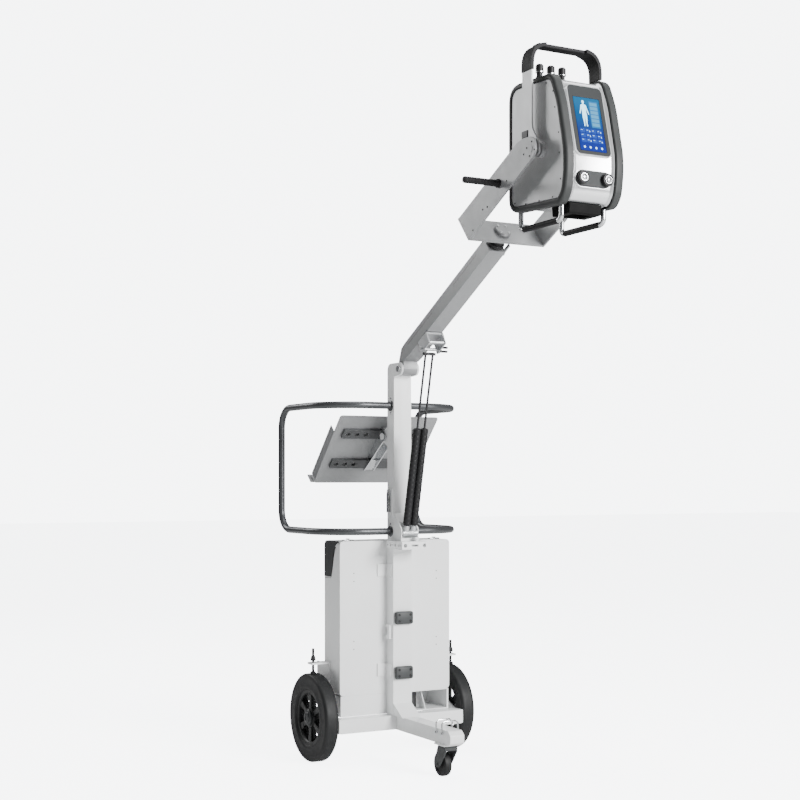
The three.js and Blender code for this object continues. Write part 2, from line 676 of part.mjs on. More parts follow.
// ---- swivel collar, and the yoke with its side grip ----
function headYoke() {
  const boom = slopedGroup(BOOM_START, BOOM_TILT);
  const slant = THREE.MathUtils.degToRad(YOKE_SLANT);
  const onFoot = (geometry) => geometry.rotateX(-slant).translate(0, -YOKE_FOOT[0], YOKE_FOOT[1]);
  const collar = turned([
    [0, 0], [22, 0], [25, 3], [25, 13], [20, 17], [20, 30], [27, 33], [27, 41], [24, 44.3],
    [10, 44.3], [10, 51.2], [25, 51.2], [25, 57], [22, 60], [0, 60],
  ], 'y', 0, 0, 0, 20).rotateX(Math.PI).translate(0, 44.6, 0);
  place(boom, 'swivel_collar', onFoot(collar), BLACK);

  const inner = YOKE_HALF - YOKE_PLATE;
  const base = onFoot(cut(
    span(-YOKE_HALF, YOKE_HALF, -YOKE_PLATE, 0, -YOKE_FOOT_HALF, YOKE_FOOT_HALF),
    rod(10.4, 30, 'y', 0, -3, 0),
  ));
  const [pivotS, pivotN] = YOKE_END;
  const arm = outline([
    [-576, 52.9, 2], [-593, -33, 6], [-972, -39, 24], [-984, 6, 18], [-930, 41, 30], [-873, 43, 20],
  ]);
  arm.holes.push(circle(8.4, -pivotS, pivotN));
  const frame = join(base, sidePlate(arm, -YOKE_HALF, -inner), sidePlate(arm, inner, YOKE_HALF));
  place(boom, 'yoke', frame, GREY);
  place(boom, 'yoke_grip', turned([
    [0, 0], [12, 0], [12, 5], [9.2, 7], [9.2, 106], [7, 110], [0, 110],
  ], 'x', 0, 0, 0).rotateZ(Math.PI).translate(-YOKE_HALF - GAP, -793, 5), BLACK);
}

// ---- X-ray head ----
function headSolid(distance, halfWidth) {
  return sidePlate(outline(inset(HEAD_SIDE, distance)), -halfWidth, halfWidth);
}

function xrayHead() {
  const shellWall = outline(inset(HEAD_SIDE, SHELL_INSET));
  shellWall.holes.push(outline(inset(HEAD_SIDE, SHELL_INSET + 4)));
  const shell = cut(
    sidePlate(shellWall, -SHELL_HALF, SHELL_HALF),
    span(-40, 40, -985, -925, 1600, 1640),
  );
  place(stand, 'head_shell', shell, SILVER);
  for (const [side, way] of SIDES) {
    const ring = outline(HEAD_SIDE);
    ring.holes.push(outline(inset(HEAD_SIDE, 15)));
    const near = SHELL_HALF + GAP;
    const [r0, r1] = way < 0 ? [-HEAD_HALF, -near] : [near, HEAD_HALF];
    place(stand, `edge_bumper_${side}`, sidePlate(ring, r0, r1), DARK);
    const [p0, p1] = way < 0 ? [-89, -82] : [82, 89];
    const boss = turned([
      [0, -3], [20, -3], [20, 12], [7.6, 12], [7.6, 40], [0, 40],
    ], 'x', 0, 0, 0);
    if (way < 0) boss.rotateZ(Math.PI);
    boss.translate(way * 90, ...HEAD_PIVOT);
    const panel = sidePlate(outline(inset(HEAD_SIDE, 15.6)), p0, p1, 4);
    place(stand, `side_panel_${side}`, join(panel, boss), GREY);
  }

  place(stand, 'xray_tube_housing', rod(46, 120, 'x', 0, -900, 1684, 24), IRON);
  place(stand, 'battery_pack', softBox(120, 100, 60, 4, 0, -860, 1880), BLACK);

  // pieces on the outside of the head end at its silver cover
  const cover = headSolid(SHELL_INSET - GAP, SHELL_HALF - 0.1);
  const collimator = outline([
    [-988, 1630], [-905, 1630], [-908, 1582, 5], [-984, 1582, 5],
  ]);
  const lightBox = cut(
    sidePlate(collimator, -50, 50, 3),
    cover,
    box(60, 50, 24, 0, -946, 1582),
  );
  place(stand, 'collimator', lightBox, BLACK);

  const wholeHead = headSolid(-GAP, HEAD_HALF);
  for (const [side, way] of SIDES) {
    const x = way * 66;
    const bar = bentBar([
      [x, -784, 1640], [x, -784, 1565, 14], [x, -973, 1565, 14], [x, -973, 1640],
    ], 6, 4, 14);
    place(stand, `guard_handle_${side}`, cut(bar, wholeHead), SILVER);
  }

  const plugs = [-36, 0, 36].map((x) => turned([
    [0, 0], [10.7, 0], [10.7, 44], [8, 46], [8, 56], [10.7, 58], [10.7, 74], [7, 78], [0, 78],
  ], 'z', x, -828, 1926, 14));
  const plugStrip = box(104, 28, 30, 0, -828, 1935);
  place(stand, 'connectors', cut(join(plugStrip, ...plugs), cover), BLACK);

  // the screen and the knob plate stand proud of the cover
  const out = -GAP;
  const face = slopedGroup(COVER_MIDDLE, COVER_SLOPE);
  const bezel = frontPlate(boxOutline(56, 94.5, 12, 0, -4.5), out - 7, out + 20);
  bezel.rotateX(-THREE.MathUtils.degToRad(COVER_SLOPE)).translate(0, ...COVER_MIDDLE);
  const window = frontPlate(boxOutline(41, 75, 3, 0, -15.5), out - 20, out - 2);
  window.rotateX(-THREE.MathUtils.degToRad(COVER_SLOPE)).translate(0, ...COVER_MIDDLE);
  place(stand, 'screen_bezel', cut(bezel, cover, window), DARK);
  const glass = frontPlate(boxOutline(40.6, 74.6, 3, 0, -15.5), out - 6.4, out - 2 - GAP);
  place(face, 'touch_screen', glass, SCREEN);

  const [knobY, knobZ] = KNOB_MIDDLE;
  const knobs = [-38, 38].map((x) => rod(11.6, 30, 'y', x, knobY, knobZ));
  const knobPlate = frontPlate(boxOutline(56, 22, 20, 0, knobZ), knobY - 5, knobY + 20);
  place(stand, 'knob_plate', cut(knobPlate, cover, ...knobs), DARK);
  for (const [side, way] of SIDES) {
    const button = turned([
      [0, 0], [11, 0], [11, 8], [14, 8.4], [14, 15], [11, 18], [0, 18],
    ], 'y', 0, 0, 0).rotateX(Math.PI);
    button.translate(way * 38, knobY - 4.5, knobZ);
    place(stand, `exposure_button_${side}`, button, BLACK);
  }
}

// ---- carrying handle over the head ----
function carryHandle() {
  const [py, pz] = HEAD_PIVOT;
  const outer = 111;
  const strapWidth = 45;
  const thick = 4.5;
  const y = -880;
  for (const [side, way] of SIDES) {
    const front = y - strapWidth / 2;
    const rear = y + strapWidth / 2;
    const strap = outline([
      [py - 17, pz - 17, 14], [py + 17, pz - 17, 14], [py + 20, pz + 10, 8], [rear, 1808, 12],
      [rear, SLEEVE_LOW, 1], [front, SLEEVE_LOW, 1], [front, 1812, 12], [py - 17, pz + 10, 8],
    ]);
    strap.holes.push(circle(8.4, py, pz));
    const [x0, x1] = way < 0 ? [-outer, thick - outer] : [outer - thick, outer];
    place(stand, `handle_strap_${side}`, sidePlate(strap, x0, x1), SILVER);
  }

  // the padded band over the top: wide over the corners, slim in the middle
  const low = SLEEVE_LOW + GAP;
  const top = 2039;
  const hollow = outer - 7;
  const arch = outline([
    [-outer - 2, low], [outer + 2, low], [outer + 2, top, 60], [-outer - 2, top, 60],
  ]);
  const opening = outline([
    [-hollow, low - 5], [hollow, low - 5], [hollow, top - 9, 52], [-hollow, top - 9, 52],
  ]);
  const depth = strapWidth / 2 + 1;
  const grip = cut(
    frontPlate(arch, y - depth, y + depth, 8),
    frontPlate(opening, y - depth - 1, y + depth + 1, 8),
    span(-64, 64, y - depth - 1, y - 8, top - 20, top + 1),
    span(-64, 64, y + 8, y + depth + 1, top - 20, top + 1),
  );
  place(stand, 'handle_grip', grip, BLACK);
}

// ---- gas springs: two covered cylinders and their rods ----
function gasSprings() {
  const [fy, fz] = SPRING_FOOT;
  const reach = Math.hypot(SPRING_TOP[0] - fy, SPRING_TOP[1] - fz);
  const lean = Math.atan2(fy - SPRING_TOP[0], SPRING_TOP[1] - fz);
  const springs = new THREE.Group();
  springs.position.set(0, fy, fz);
  springs.rotation.x = lean;
  stand.add(springs);
  const eyes = [];
  const stems = [];
  for (const [side, way] of SIDES) {
    eyes.push(rod(11, 26, 'x', way * (SPRING_X + 1), 0, 0));
    eyes.push(rod(10, 24, 'z', way * SPRING_X, 0, 12));
    const cover = turned([
      [0, 0], [SPRING_R, 0], [SPRING_R, 308], [SPRING_R - 2, 311],
      [4.6, 311], [4.6, 30], [0, 30],
    ], 'z', way * SPRING_X, 0, 24.4, 20);
    place(springs, `spring_cover_${side}`, cover, BLACK);
    const length = reach - 160;
    stems.push(rod(3.5, length, 'z', way * SPRING_X, 0, reach - 12 - length / 2, 12));
  }
  const bush = rod(11, 10, 'x', 0, 0, 0);
  place(springs, 'spring_foot', cut(join(bush, ...eyes), rod(6.4, 80, 'x', 0, 0, 0)), SILVER);
  place(springs, 'spring_rods', join(box(40, 12, 8, 0, 0, reach - 14), ...stems), STEEL);
}

trolleyBase();
wheels();
frontCaster();
lowerColumn();
detectorBox();
upperColumn();
laptopTray();
boomArm();
headYoke();
xrayHead();
carryHandle();
gasSprings();

// the origin is the middle of the stand's base on the floor
const limits = new THREE.Box3().setFromObject(stand);
const middle = limits.getCenter(new THREE.Vector3());
stand.position.set(-middle.x, -middle.y, -limits.min.z);

export default stand;
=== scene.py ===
import json
import math

import bmesh
import bpy
from mathutils import Matrix, Vector


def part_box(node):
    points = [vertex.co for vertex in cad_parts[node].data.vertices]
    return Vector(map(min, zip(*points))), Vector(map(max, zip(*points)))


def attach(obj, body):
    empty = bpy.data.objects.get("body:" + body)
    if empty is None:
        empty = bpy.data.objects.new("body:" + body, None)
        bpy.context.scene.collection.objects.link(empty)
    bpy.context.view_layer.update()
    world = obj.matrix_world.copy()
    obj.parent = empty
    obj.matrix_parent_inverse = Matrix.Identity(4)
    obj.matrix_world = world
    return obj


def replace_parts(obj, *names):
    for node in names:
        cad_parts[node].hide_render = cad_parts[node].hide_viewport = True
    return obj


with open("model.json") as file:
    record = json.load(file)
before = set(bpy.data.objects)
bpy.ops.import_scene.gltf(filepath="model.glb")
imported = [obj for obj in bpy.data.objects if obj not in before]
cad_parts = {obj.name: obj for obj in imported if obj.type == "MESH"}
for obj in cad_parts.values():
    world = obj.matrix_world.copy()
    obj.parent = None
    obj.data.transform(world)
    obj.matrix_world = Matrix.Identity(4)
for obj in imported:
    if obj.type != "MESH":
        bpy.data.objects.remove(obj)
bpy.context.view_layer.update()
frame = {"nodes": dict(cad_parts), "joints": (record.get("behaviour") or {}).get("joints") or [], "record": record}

# ---- Camera, floor and lights ----
# The camera stands level with the middle of the stand and looks slightly from its left front.
# The floor is a wide white sheet, as bright as the backdrop to the camera alone. Soft boxes light
# the stand, the brightest from its right front.
joint_at = {joint["name"]: Vector(joint["pos_m"]) for joint in frame["joints"]}
column_front = joint_at["boom_lift"].y + 0.033
view_turn = math.radians(28.5)
view_height = 0.9016
view_distance = 4.5808
view_aside = -0.00827
ahead = Vector((math.sin(view_turn), math.cos(view_turn), 0))
aside = Vector((ahead.y, -ahead.x, 0))
lens = bpy.data.cameras.new("camera")
lens.lens = 64.8
lens.sensor_width = 36
lens.shift_y = 0.0975
lens.clip_end = 60
camera = bpy.data.objects.new("camera", lens)
camera.location = (
    Vector((0, column_front, view_height)) - view_distance * ahead + view_aside * aside
)
camera.rotation_euler = (math.radians(90), 0, -view_turn)
bpy.context.scene.collection.objects.link(camera)
bpy.context.scene.camera = camera


def link(name, mesh):
    piece = bpy.data.objects.new(name, mesh)
    bpy.context.scene.collection.objects.link(piece)
    return piece


def finish(name, colour, roughness, metallic=0.0, mottle=0.05, grain=700.0, dent=0.04, coat=0.0,
           shine=0.5):
    """A surface with faint cloudiness, an uneven gloss and a fine grain."""
    material = bpy.data.materials.new(name)
    material.use_nodes = True
    nodes, links = material.node_tree.nodes, material.node_tree.links
    shader = nodes["Principled BSDF"]
    shader.inputs["Metallic"].default_value = metallic
    shader.inputs["Specular IOR Level"].default_value = shine
    shader.inputs["Coat Weight"].default_value = coat
    shader.inputs["Coat Roughness"].default_value = 0.15
    place = nodes.new("ShaderNodeTexCoord").outputs["Object"]

    cloud = nodes.new("ShaderNodeTexNoise")
    cloud.inputs["Scale"].default_value = 9.0
    cloud.inputs["Detail"].default_value = 6.0
    tone = nodes.new("ShaderNodeValToRGB")
    tone.color_ramp.elements[0].position = 0.3
    tone.color_ramp.elements[1].position = 0.7
    tone.color_ramp.elements[0].color = [c * (1 - mottle) for c in colour] + [1]
    tone.color_ramp.elements[1].color = [min(1, c * (1 + mottle)) for c in colour] + [1]
    links.new(place, cloud.inputs["Vector"])
    links.new(cloud.outputs["Fac"], tone.inputs["Fac"])
    links.new(tone.outputs["Color"], shader.inputs["Base Color"])

    wear = nodes.new("ShaderNodeTexNoise")
    wear.inputs["Scale"].default_value = 38.0
    wear.inputs["Detail"].default_value = 5.0
    gloss = nodes.new("ShaderNodeMapRange")
    gloss.inputs["To Min"].default_value = max(0.03, roughness - 0.09)
    gloss.inputs["To Max"].default_value = min(1.0, roughness + 0.09)
    links.new(place, wear.inputs["Vector"])
    links.new(wear.outputs["Fac"], gloss.inputs["Value"])
    links.new(gloss.outputs["Result"], shader.inputs["Roughness"])

    fine = nodes.new("ShaderNodeTexNoise")
    fine.inputs["Scale"].default_value = grain
    bump = nodes.new("ShaderNodeBump")
    bump.inputs["Strength"].default_value = dent
    bump.inputs["Distance"].default_value = 0.001
    links.new(place, fine.inputs["Vector"])
    links.new(fine.outputs["Fac"], bump.inputs["Height"])
    links.new(bump.outputs["Normal"], shader.inputs["Normal"])
    return material


floor_mesh = bpy.data.meshes.new("floor")
floor_mesh.from_pydata(
    [(x, y, -0.0004) for x, y in ((-25, -25), (25, -25), (25, 25), (-25, 25))], [], [(0, 1, 2, 3)]
)
pale_floor = finish("pale_floor", (0.9, 0.9, 0.9), 0.8, mottle=0.01, dent=0.0)
floor_mesh.materials.append(pale_floor)
link("floor", floor_mesh)

world = bpy.data.worlds.new("studio")
world.use_nodes = True
backdrop = world.node_tree.nodes["Background"]
backdrop.inputs["Color"].default_value = (0.96, 0.98, 1.0, 1)
seen = world.node_tree.nodes.new("ShaderNodeLightPath")
bright = world.node_tree.nodes.new("ShaderNodeMapRange")
bright.inputs["To Min"].default_value = 0.18
bright.inputs["To Max"].default_value = 7.0
world.node_tree.links.new(seen.outputs["Is Camera Ray"], bright.inputs["Value"])
world.node_tree.links.new(bright.outputs["Result"], backdrop.inputs["Strength"])
bpy.context.scene.world = world
paper = pale_floor.node_tree
paper_ray = paper.nodes.new("ShaderNodeLightPath")
paper_glow = paper.nodes.new("ShaderNodeMapRange")
paper_glow.inputs["To Min"].default_value = 0.0
paper_glow.inputs["To Max"].default_value = 6.0
paper.nodes["Principled BSDF"].inputs["Emission Color"].default_value = (0.96, 0.98, 1.0, 1)
paper.links.new(paper_ray.outputs["Is Camera Ray"], paper_glow.inputs["Value"])
paper.links.new(paper_glow.outputs["Result"], paper.nodes["Principled BSDF"].inputs["Emission Strength"])

for name, spot, aim, size, power in (
    ("key", (1.6, -4.6, 2.6), (0, 0, 1.1), 2.2, 570),
    ("top", (0.4, -0.4, 5.2), (0, 0, 0.6), 3.4, 150),
    ("fill", (-3.8, -1.6, 2.0), (0, 0, 1.2), 2.4, 6),
    ("rim", (-1.8, 3.6, 3.2), (0, 0, 1.2), 2.0, 90),
):
    glow = bpy.data.lights.new(name, "AREA")
    glow.size = size
    glow.energy = power
    lamp = bpy.data.objects.new(name, glow)
    lamp.location = spot
    lamp.rotation_euler = (Vector(aim) - Vector(spot)).to_track_quat("-Z", "Y").to_euler()
    bpy.context.scene.collection.objects.link(lamp)

# ---- Trolley base: axle beam and front leg ----
# Square steel tube, cut and welded, then enamelled white. The sharp cuts are broken by hand, so
# each copy of a CAD piece gets a small round on its edges. A plastic plug closes the leg's end.
white_enamel = finish("white_enamel", (0.80, 0.81, 0.81), 0.34, coat=0.25, mottle=0.02)


def round_edges(piece, radius, steps=2, angle=30):
    bevel = piece.modifiers.new("rounds", "BEVEL")
    bevel.width = radius
    bevel.segments = steps
    bevel.limit_method = "ANGLE"
    bevel.angle_limit = math.radians(angle)
    bevel.harden_normals = True
    for face in piece.data.polygons:
        face.use_smooth = True


record = frame["record"]
body_of = {node: body for body, nodes in record["behaviour"]["bodies"].items() for node in nodes}


def dressed(node, material, radius=0.0015, steps=2):
    """The CAD piece with its flat faces made whole and its edges rounded."""
    mesh = frame["nodes"][node].data.copy()
    shape = bmesh.new()
    shape.from_mesh(mesh)
    bmesh.ops.remove_doubles(shape, verts=shape.verts, dist=0.00002)
    bmesh.ops.dissolve_limit(shape, angle_limit=math.radians(1.5), verts=shape.verts, edges=shape.edges)
    shape.to_mesh(mesh)
    shape.free()
    mesh.materials.clear()
    mesh.materials.append(material)
    for attribute in [a.name for a in mesh.attributes if a.name.startswith("custom_normal")]:
        mesh.attributes.remove(mesh.attributes[attribute])
    piece = link(node + "_made", mesh)
    round_edges(piece, radius, steps)
    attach(piece, body_of[node])
    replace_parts(piece, node)
    return piece


for node in ("axle_beam", "front_leg"):
    dressed(node, white_enamel, 0.002)


def at(x, y, z):
    """A point given in millimetres from the column's front face at the floor."""
    return Vector((x / 1000, column_front + y / 1000, z / 1000))


def new_piece(name, points, faces, material, body, slot, smooth=True):
    """A new piece of mesh; its points are in metres in the stand's frame."""
    mesh = bpy.data.meshes.new(name)
    mesh.from_pydata([tuple(p) for p in points], [], faces)
    shape = bmesh.new()
    shape.from_mesh(mesh)
    bmesh.ops.remove_doubles(shape, verts=shape.verts, dist=0.00001)
    bmesh.ops.recalc_face_normals(shape, faces=shape.faces)
    shape.to_mesh(mesh)
    shape.free()
    mesh.materials.append(material)
    if smooth:
        for face in mesh.polygons:
            face.use_smooth = True
        mesh.set_sharp_from_angle(angle=math.radians(32))
        for face in mesh.polygons:
            face.use_smooth = face.area < 0.004
    piece = link(name, mesh)
    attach(piece, body)
    return piece


# ---- Wheels ----
# Two moulded black wheels with six broad spokes and a hub cap, each with a solid rubber tyre that
# is pressed over the rim. A raised bead runs round each side of the tyre.
tyre_rubber = finish("tyre_rubber", (0.008, 0.0085, 0.009), 0.55, grain=1500, mottle=0.15, shine=0.3)
wheel_plastic = finish("wheel_plastic", (0.007, 0.0075, 0.008), 0.4, mottle=0.1, shine=0.25)
hub_plastic = finish("hub_plastic", (0.022, 0.024, 0.025), 0.4, mottle=0.1, shine=0.3)


def turned(profile, axis, centre, steps=64):
    """Rings for a closed round piece; the profile is [radius, distance along the axis] in mm."""
    along = Vector(axis).normalized()
    side = along.orthogonal().normalized()
    up = along.cross(side)
    points, faces = [], []
    for step in range(steps):
        turn = 2 * math.pi * step / steps
        spoke = side * math.cos(turn) + up * math.sin(turn)
        points += [Vector(centre) + spoke * (r / 1000) + along * (t / 1000) for r, t in profile]
    count = len(profile)
    for step in range(steps):
        a, b = step * count, (step + 1) % steps * count
        for i in range(count):
            j = (i + 1) % count
            if profile[i][0] < 1e-6 and profile[j][0] < 1e-6:
                continue
            faces.append((a + i, a + j, b + j, b + i))
    return points, faces


def block(x0, x1, y0, y1, z0, z1, place=Matrix.Identity(4)):
    """A plain block in mm, as points and faces, put in place by a matrix in metres."""
    points = [
        place @ Vector((x / 1000, y / 1000, z / 1000))
        for x in (x0, x1) for y in (y0, y1) for z in (z0, z1)
    ]
    return points, [(0, 1, 3, 2), (4, 6, 7, 5), (0, 4, 5, 1), (2, 3, 7, 6), (0, 2, 6, 4), (1, 5, 7, 3)]


def together(*shapes):
    points, faces = [], []
    for more, sides in shapes:
        start = len(points)
        points += list(more)
        faces += [tuple(start + i for i in face) for face in sides]
    return points, faces


for side, way in (("left", -1), ("right", 1)):
    hub = joint_at[f"wheel_{side}_spin"]
    across = Vector((way, 0, 0))
    tyre = turned([
        (89, -14), (93, -25.5), (97, -27.5), (101, -26.6), (126, -26.6), (131, -27.2), (135, -26),
        (138.4, -22.5), (139.8, -18), (140, -10), (140, 6), (139.8, 12), (138.4, 15.5),
        (135, 18.6), (131, 19.8), (126, 19.2), (101, 19.2), (97, 20), (93, 18.5), (89, 14),
    ], across, hub, 96)
    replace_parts(new_piece(f"tyre_{side}_moulded", *tyre, tyre_rubber, f"wheel_{side}", "tyre_rubber"),
                f"tyre_{side}")
    rim = turned([
        (76, -11), (79, -14), (88.6, -14), (88.6, 14), (79, 14), (76, 11), (74.5, 4), (74.5, -4),
    ], across, hub, 96)
    boss = turned([(8.5, -16), (30, -13), (33, -8), (33, 8), (30, 13), (8.5, 16)], across, hub, 48)
    spokes = []
    for i in range(6):
        turn = Matrix.Translation(hub) @ Matrix.Rotation(math.radians(60 * i), 4, "X")
        spokes.append(block(-10, 10, -8.5, 8.5, 26, 60, turn))
        spokes.append(block(-11, 11, -11, 11, 56, 77, turn))
        spokes.append(block(-3, 3, -13.5, 13.5, 26, 77, turn))
    spider = new_piece(f"wheel_{side}_spider", *together(*spokes), wheel_plastic, f"wheel_{side}",
                       "black_plastic", False)
    round_edges(spider, 0.0022, 3)
    ring = new_piece(f"wheel_{side}_rim", *together(rim, boss), wheel_plastic, f"wheel_{side}",
                     "black_plastic")
    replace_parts(ring, f"wheel_rim_{side}")
    cap = turned([
        (0, 10), (25, 10), (26, 12), (26, 17), (24, 19.5), (19, 20.5), (17, 23), (9, 24.5),
        (8, 22.5), (0, 22.5),
    ], across, hub, 48)
    new_piece(f"wheel_{side}_cap", *cap, hub_plastic, f"wheel_{side}", "black_plastic")

# ---- Front caster and the two foot bails ----
# A bought swivel caster with a pressed fork and a solid wheel, bolted under the end of the leg.
# Two bent wire bails fold down on the leg's top.
grey_plastic = finish("grey_plastic", (0.040, 0.043, 0.044), 0.5, mottle=0.08, shine=0.35)
bright_steel = finish("bright_steel", (0.58, 0.59, 0.60), 0.24, metallic=1.0, mottle=0.04, dent=0.01)
dressed("caster_fork", grey_plastic, 0.0012)
caster_hub = joint_at["caster_spin"]
roller = turned([
    (5, -11), (14, -11), (15, -9), (24, -9), (25, -12), (33, -12), (36, -10.5), (37.3, -7),
    (37.5, 0), (37.3, 7), (36, 10.5), (33, 12), (25, 12), (24, 9), (15, 9), (14, 11), (5, 11),
], (1, 0, 0), caster_hub, 64)
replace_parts(new_piece("caster_roller_made", *roller, tyre_rubber, "caster_roller", "tyre_rubber"),
            "caster_wheel")
for node in ("foot_bail_front", "foot_bail_rear"):
    dressed(node, bright_steel, 0.0002, 1)

# ---- Lower column with its clamp blocks and the joint bracket ----
# White enamelled square tube, with a gusset welded to its foot and angle brackets for the box.
# Two grey blocks clamp the leg's bail when it is folded; the bracket on top is milled steel.
dressed("lower_column", white_enamel, 0.0014)
for node in ("clamp_block_upper", "clamp_block_lower"):
    dressed(node, grey_plastic, 0.0015, 3)
dressed("column_joint_bracket", white_enamel, 0.0012)

# ---- Detector box ----
# A folded sheet steel case with rounded corners, enamelled white. A dark moulded cover lies over
# the rear top corner of its left side, and two small latches close the slot in its top.
dressed("detector_box", white_enamel, 0.006, 4)
cover_plastic = finish("cover_plastic", (0.030, 0.032, 0.033), 0.5, mottle=0.08, shine=0.3)
cover_back, cover_top, cover_corner = 158.6, 702.4, 18
cover_side = [(cover_back, 588)] + [
    (cover_back - cover_corner + cover_corner * math.cos(math.radians(a)),
     cover_top - cover_corner + cover_corner * math.sin(math.radians(a)))
    for a in range(0, 91, 15)
] + [(60, cover_top), (56, 700), (66, 696), (78, 688), (87, 674), (92, 658), (107, 588)]
count = len(cover_side)
cover_points = [at(x, y, z) for x in (-196, -200.4) for y, z in cover_side]
cover_faces = [(k, (k + 1) % count, count + (k + 1) % count, count + k) for k in range(count)]
cover_faces += [tuple(range(count)), tuple(count + k for k in reversed(range(count)))]
grip_cover = new_piece("box_grip_cover_moulded", cover_points, cover_faces, cover_plastic, "base",
                       "grey_plastic", False)
round_edges(grip_cover, 0.001)
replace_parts(grip_cover, "box_grip_cover")
for node in ("detector_latch_left", "detector_latch_right"):
    dressed(node, bright_steel, 0.0006)
detector_skin = finish("detector_skin", (0.02, 0.02, 0.022), 0.5, grain=1200, dent=0.1)
dressed("flat_panel_detector", detector_skin, 0.002)

# ---- Base housing, counterweight and brakes ----
# Sheet steel under the box, folded and enamelled white, with a cast block inside. Threaded rods
# with black knobs pass through its side brackets and press on the tyres.
dressed("base_housing", white_enamel, 0.001)
raw_iron = finish("raw_iron", (0.07, 0.07, 0.072), 0.7, metallic=0.6, grain=400, dent=0.4, mottle=0.2)
dressed("counterweight", raw_iron, 0.003)
black_plastic = finish("black_plastic", (0.010, 0.010, 0.011), 0.46, mottle=0.12, grain=1100, shine=0.25)
for side, way in (("left", -1), ("right", 1)):
    foot = at(way * 253, 130, 280.6)
    rod_parts = [
        turned([(0, 0), (9, 0), (9, 5), (4, 8), (4, 25), (0, 25)], (0, 0, 1), foot, 32),
        turned([(0, 41.4), (8, 41.4), (8.6, 44), (7, 52), (6, 56), (0, 56)], (0, 0, 1), foot, 6),
        turned([(0, 56), (4, 56), (4, 79), (3, 80), (0, 80)], (0, 0, 1), foot, 24),
    ]
    threads = [(0, 24)]
    for pitch in range(11):
        threads += [(4.1, 24 + 1.6 * pitch), (3.4, 24.8 + 1.6 * pitch)]
    rod_parts.append(turned(threads + [(4.1, 41.6), (0, 41.6)], (0, 0, 1), foot, 24))
    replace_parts(new_piece(f"brake_{side}_rod", *together(*rod_parts), black_plastic, f"brake_{side}",
                          "black_plastic"), f"brake_plunger_{side}")

# ---- Upper column, push handles and column latch ----
# The upper column is a white enamelled tube with two cheeks for the boom's pivot. The push
# handles are bent from aluminium tube with a dark hammered coat.
dressed("upper_column", white_enamel, 0.002, 3)
dressed("boom_pivot_bolt", bright_steel, 0.0008)
handle_coat = finish("handle_coat", (0.065, 0.068, 0.072), 0.34, metallic=0.55, grain=900, dent=0.12)


def bar(stops, radius, steps=24, bend_steps=14):
    """A round bar along straight stretches with bends; stops are (point, bend radius) in metres."""
    line = []
    for i, (here, bend) in enumerate(stops):
        if i in (0, len(stops) - 1) or bend == 0:
            line.append(here)
            continue
        into = (stops[i - 1][0] - here).normalized()
        out = (stops[i + 1][0] - here).normalized()
        half = into.angle(out) / 2
        centre = here + (into + out).normalized() * (bend / math.sin(half))
        start = here + into * (bend / math.tan(half)) - centre
        end = here + out * (bend / math.tan(half)) - centre
        line += [
            centre + start.normalized().slerp(end.normalized(), k / bend_steps) * bend
            for k in range(bend_steps + 1)
        ]
    points, faces = [], []
    side = (line[1] - line[0]).orthogonal().normalized()
    for i, here in enumerate(line):
        into = (here - line[i - 1]).normalized() if i else (line[1] - line[0]).normalized()
        out = (line[i + 1] - here).normalized() if i + 1 < len(line) else into
        ahead_here = (into + out).normalized()
        side = (side - ahead_here * side.dot(ahead_here)).normalized()
        up = ahead_here.cross(side)
        points += [
            here + (side * math.cos(a) + up * math.sin(a)) * radius
            for a in (2 * math.pi * k / steps for k in range(steps))
        ]
    for i in range(len(line) - 1):
        for k in range(steps):
            n = (k + 1) % steps
            faces.append((i * steps + k, i * steps + n, (i + 1) * steps + n, (i + 1) * steps + k))
    faces.append(tuple(range(steps)))
    faces.append(tuple((len(line) - 1) * steps + k for k in reversed(range(steps))))
    return points, faces


handle_top, handle_low, handle_half, handle_back = 1132, 732, 254, 374
wide_bend, tight_bend = 0.148, 0.066
for side, way in (("left", -1), ("right", 1)):
    loop = [
        (at(way * 31.3, 22, handle_top), 0), (at(way * handle_half, 22, handle_top), wide_bend),
        (at(way * handle_half, handle_back, handle_top), tight_bend),
        (at(way * handle_half, handle_back, handle_low), tight_bend),
        (at(way * handle_half, 22, handle_low), wide_bend), (at(way * 31.3, 22, handle_low), 0),
    ]
    collars = [
        turned([(0, 0), (17, 0), (17, 2.5), (14, 4), (0, 4)], (way, 0, 0), at(way * 31.4, 22, z), 32)
        for z in (handle_low, handle_top)
    ]
    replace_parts(new_piece(f"push_handle_{side}_tube", *together(bar(loop, 0.011), *collars),
                          handle_coat, "base", "handle_tube"), f"push_handle_{side}")
dressed("column_latch", bright_steel, 0.0008)

# ---- Laptop tray on its tilting bracket ----
# A folded aluminium sheet with a lip, anodised grey, riveted to a bracket with two dark slotted
# rails. The bracket's bright steel cheeks pivot on a bolt behind the upper column.
tray_sheet = finish("tray_sheet", (0.28, 0.285, 0.29), 0.42, metallic=0.35, mottle=0.05)
bracket_paint = finish("bracket_paint", (0.05, 0.052, 0.054), 0.45, mottle=0.08)
dressed("tray_plate", tray_sheet, 0.0011)
bracket = dressed("tray_bracket", bracket_paint, 0.0008)
bracket.data.materials.append(bright_steel)
cheek_half = 0.03
for face in bracket.data.polygons:
    if all(abs(bracket.data.vertices[i].co.x) < cheek_half for i in face.vertices):
        face.material_index = 1

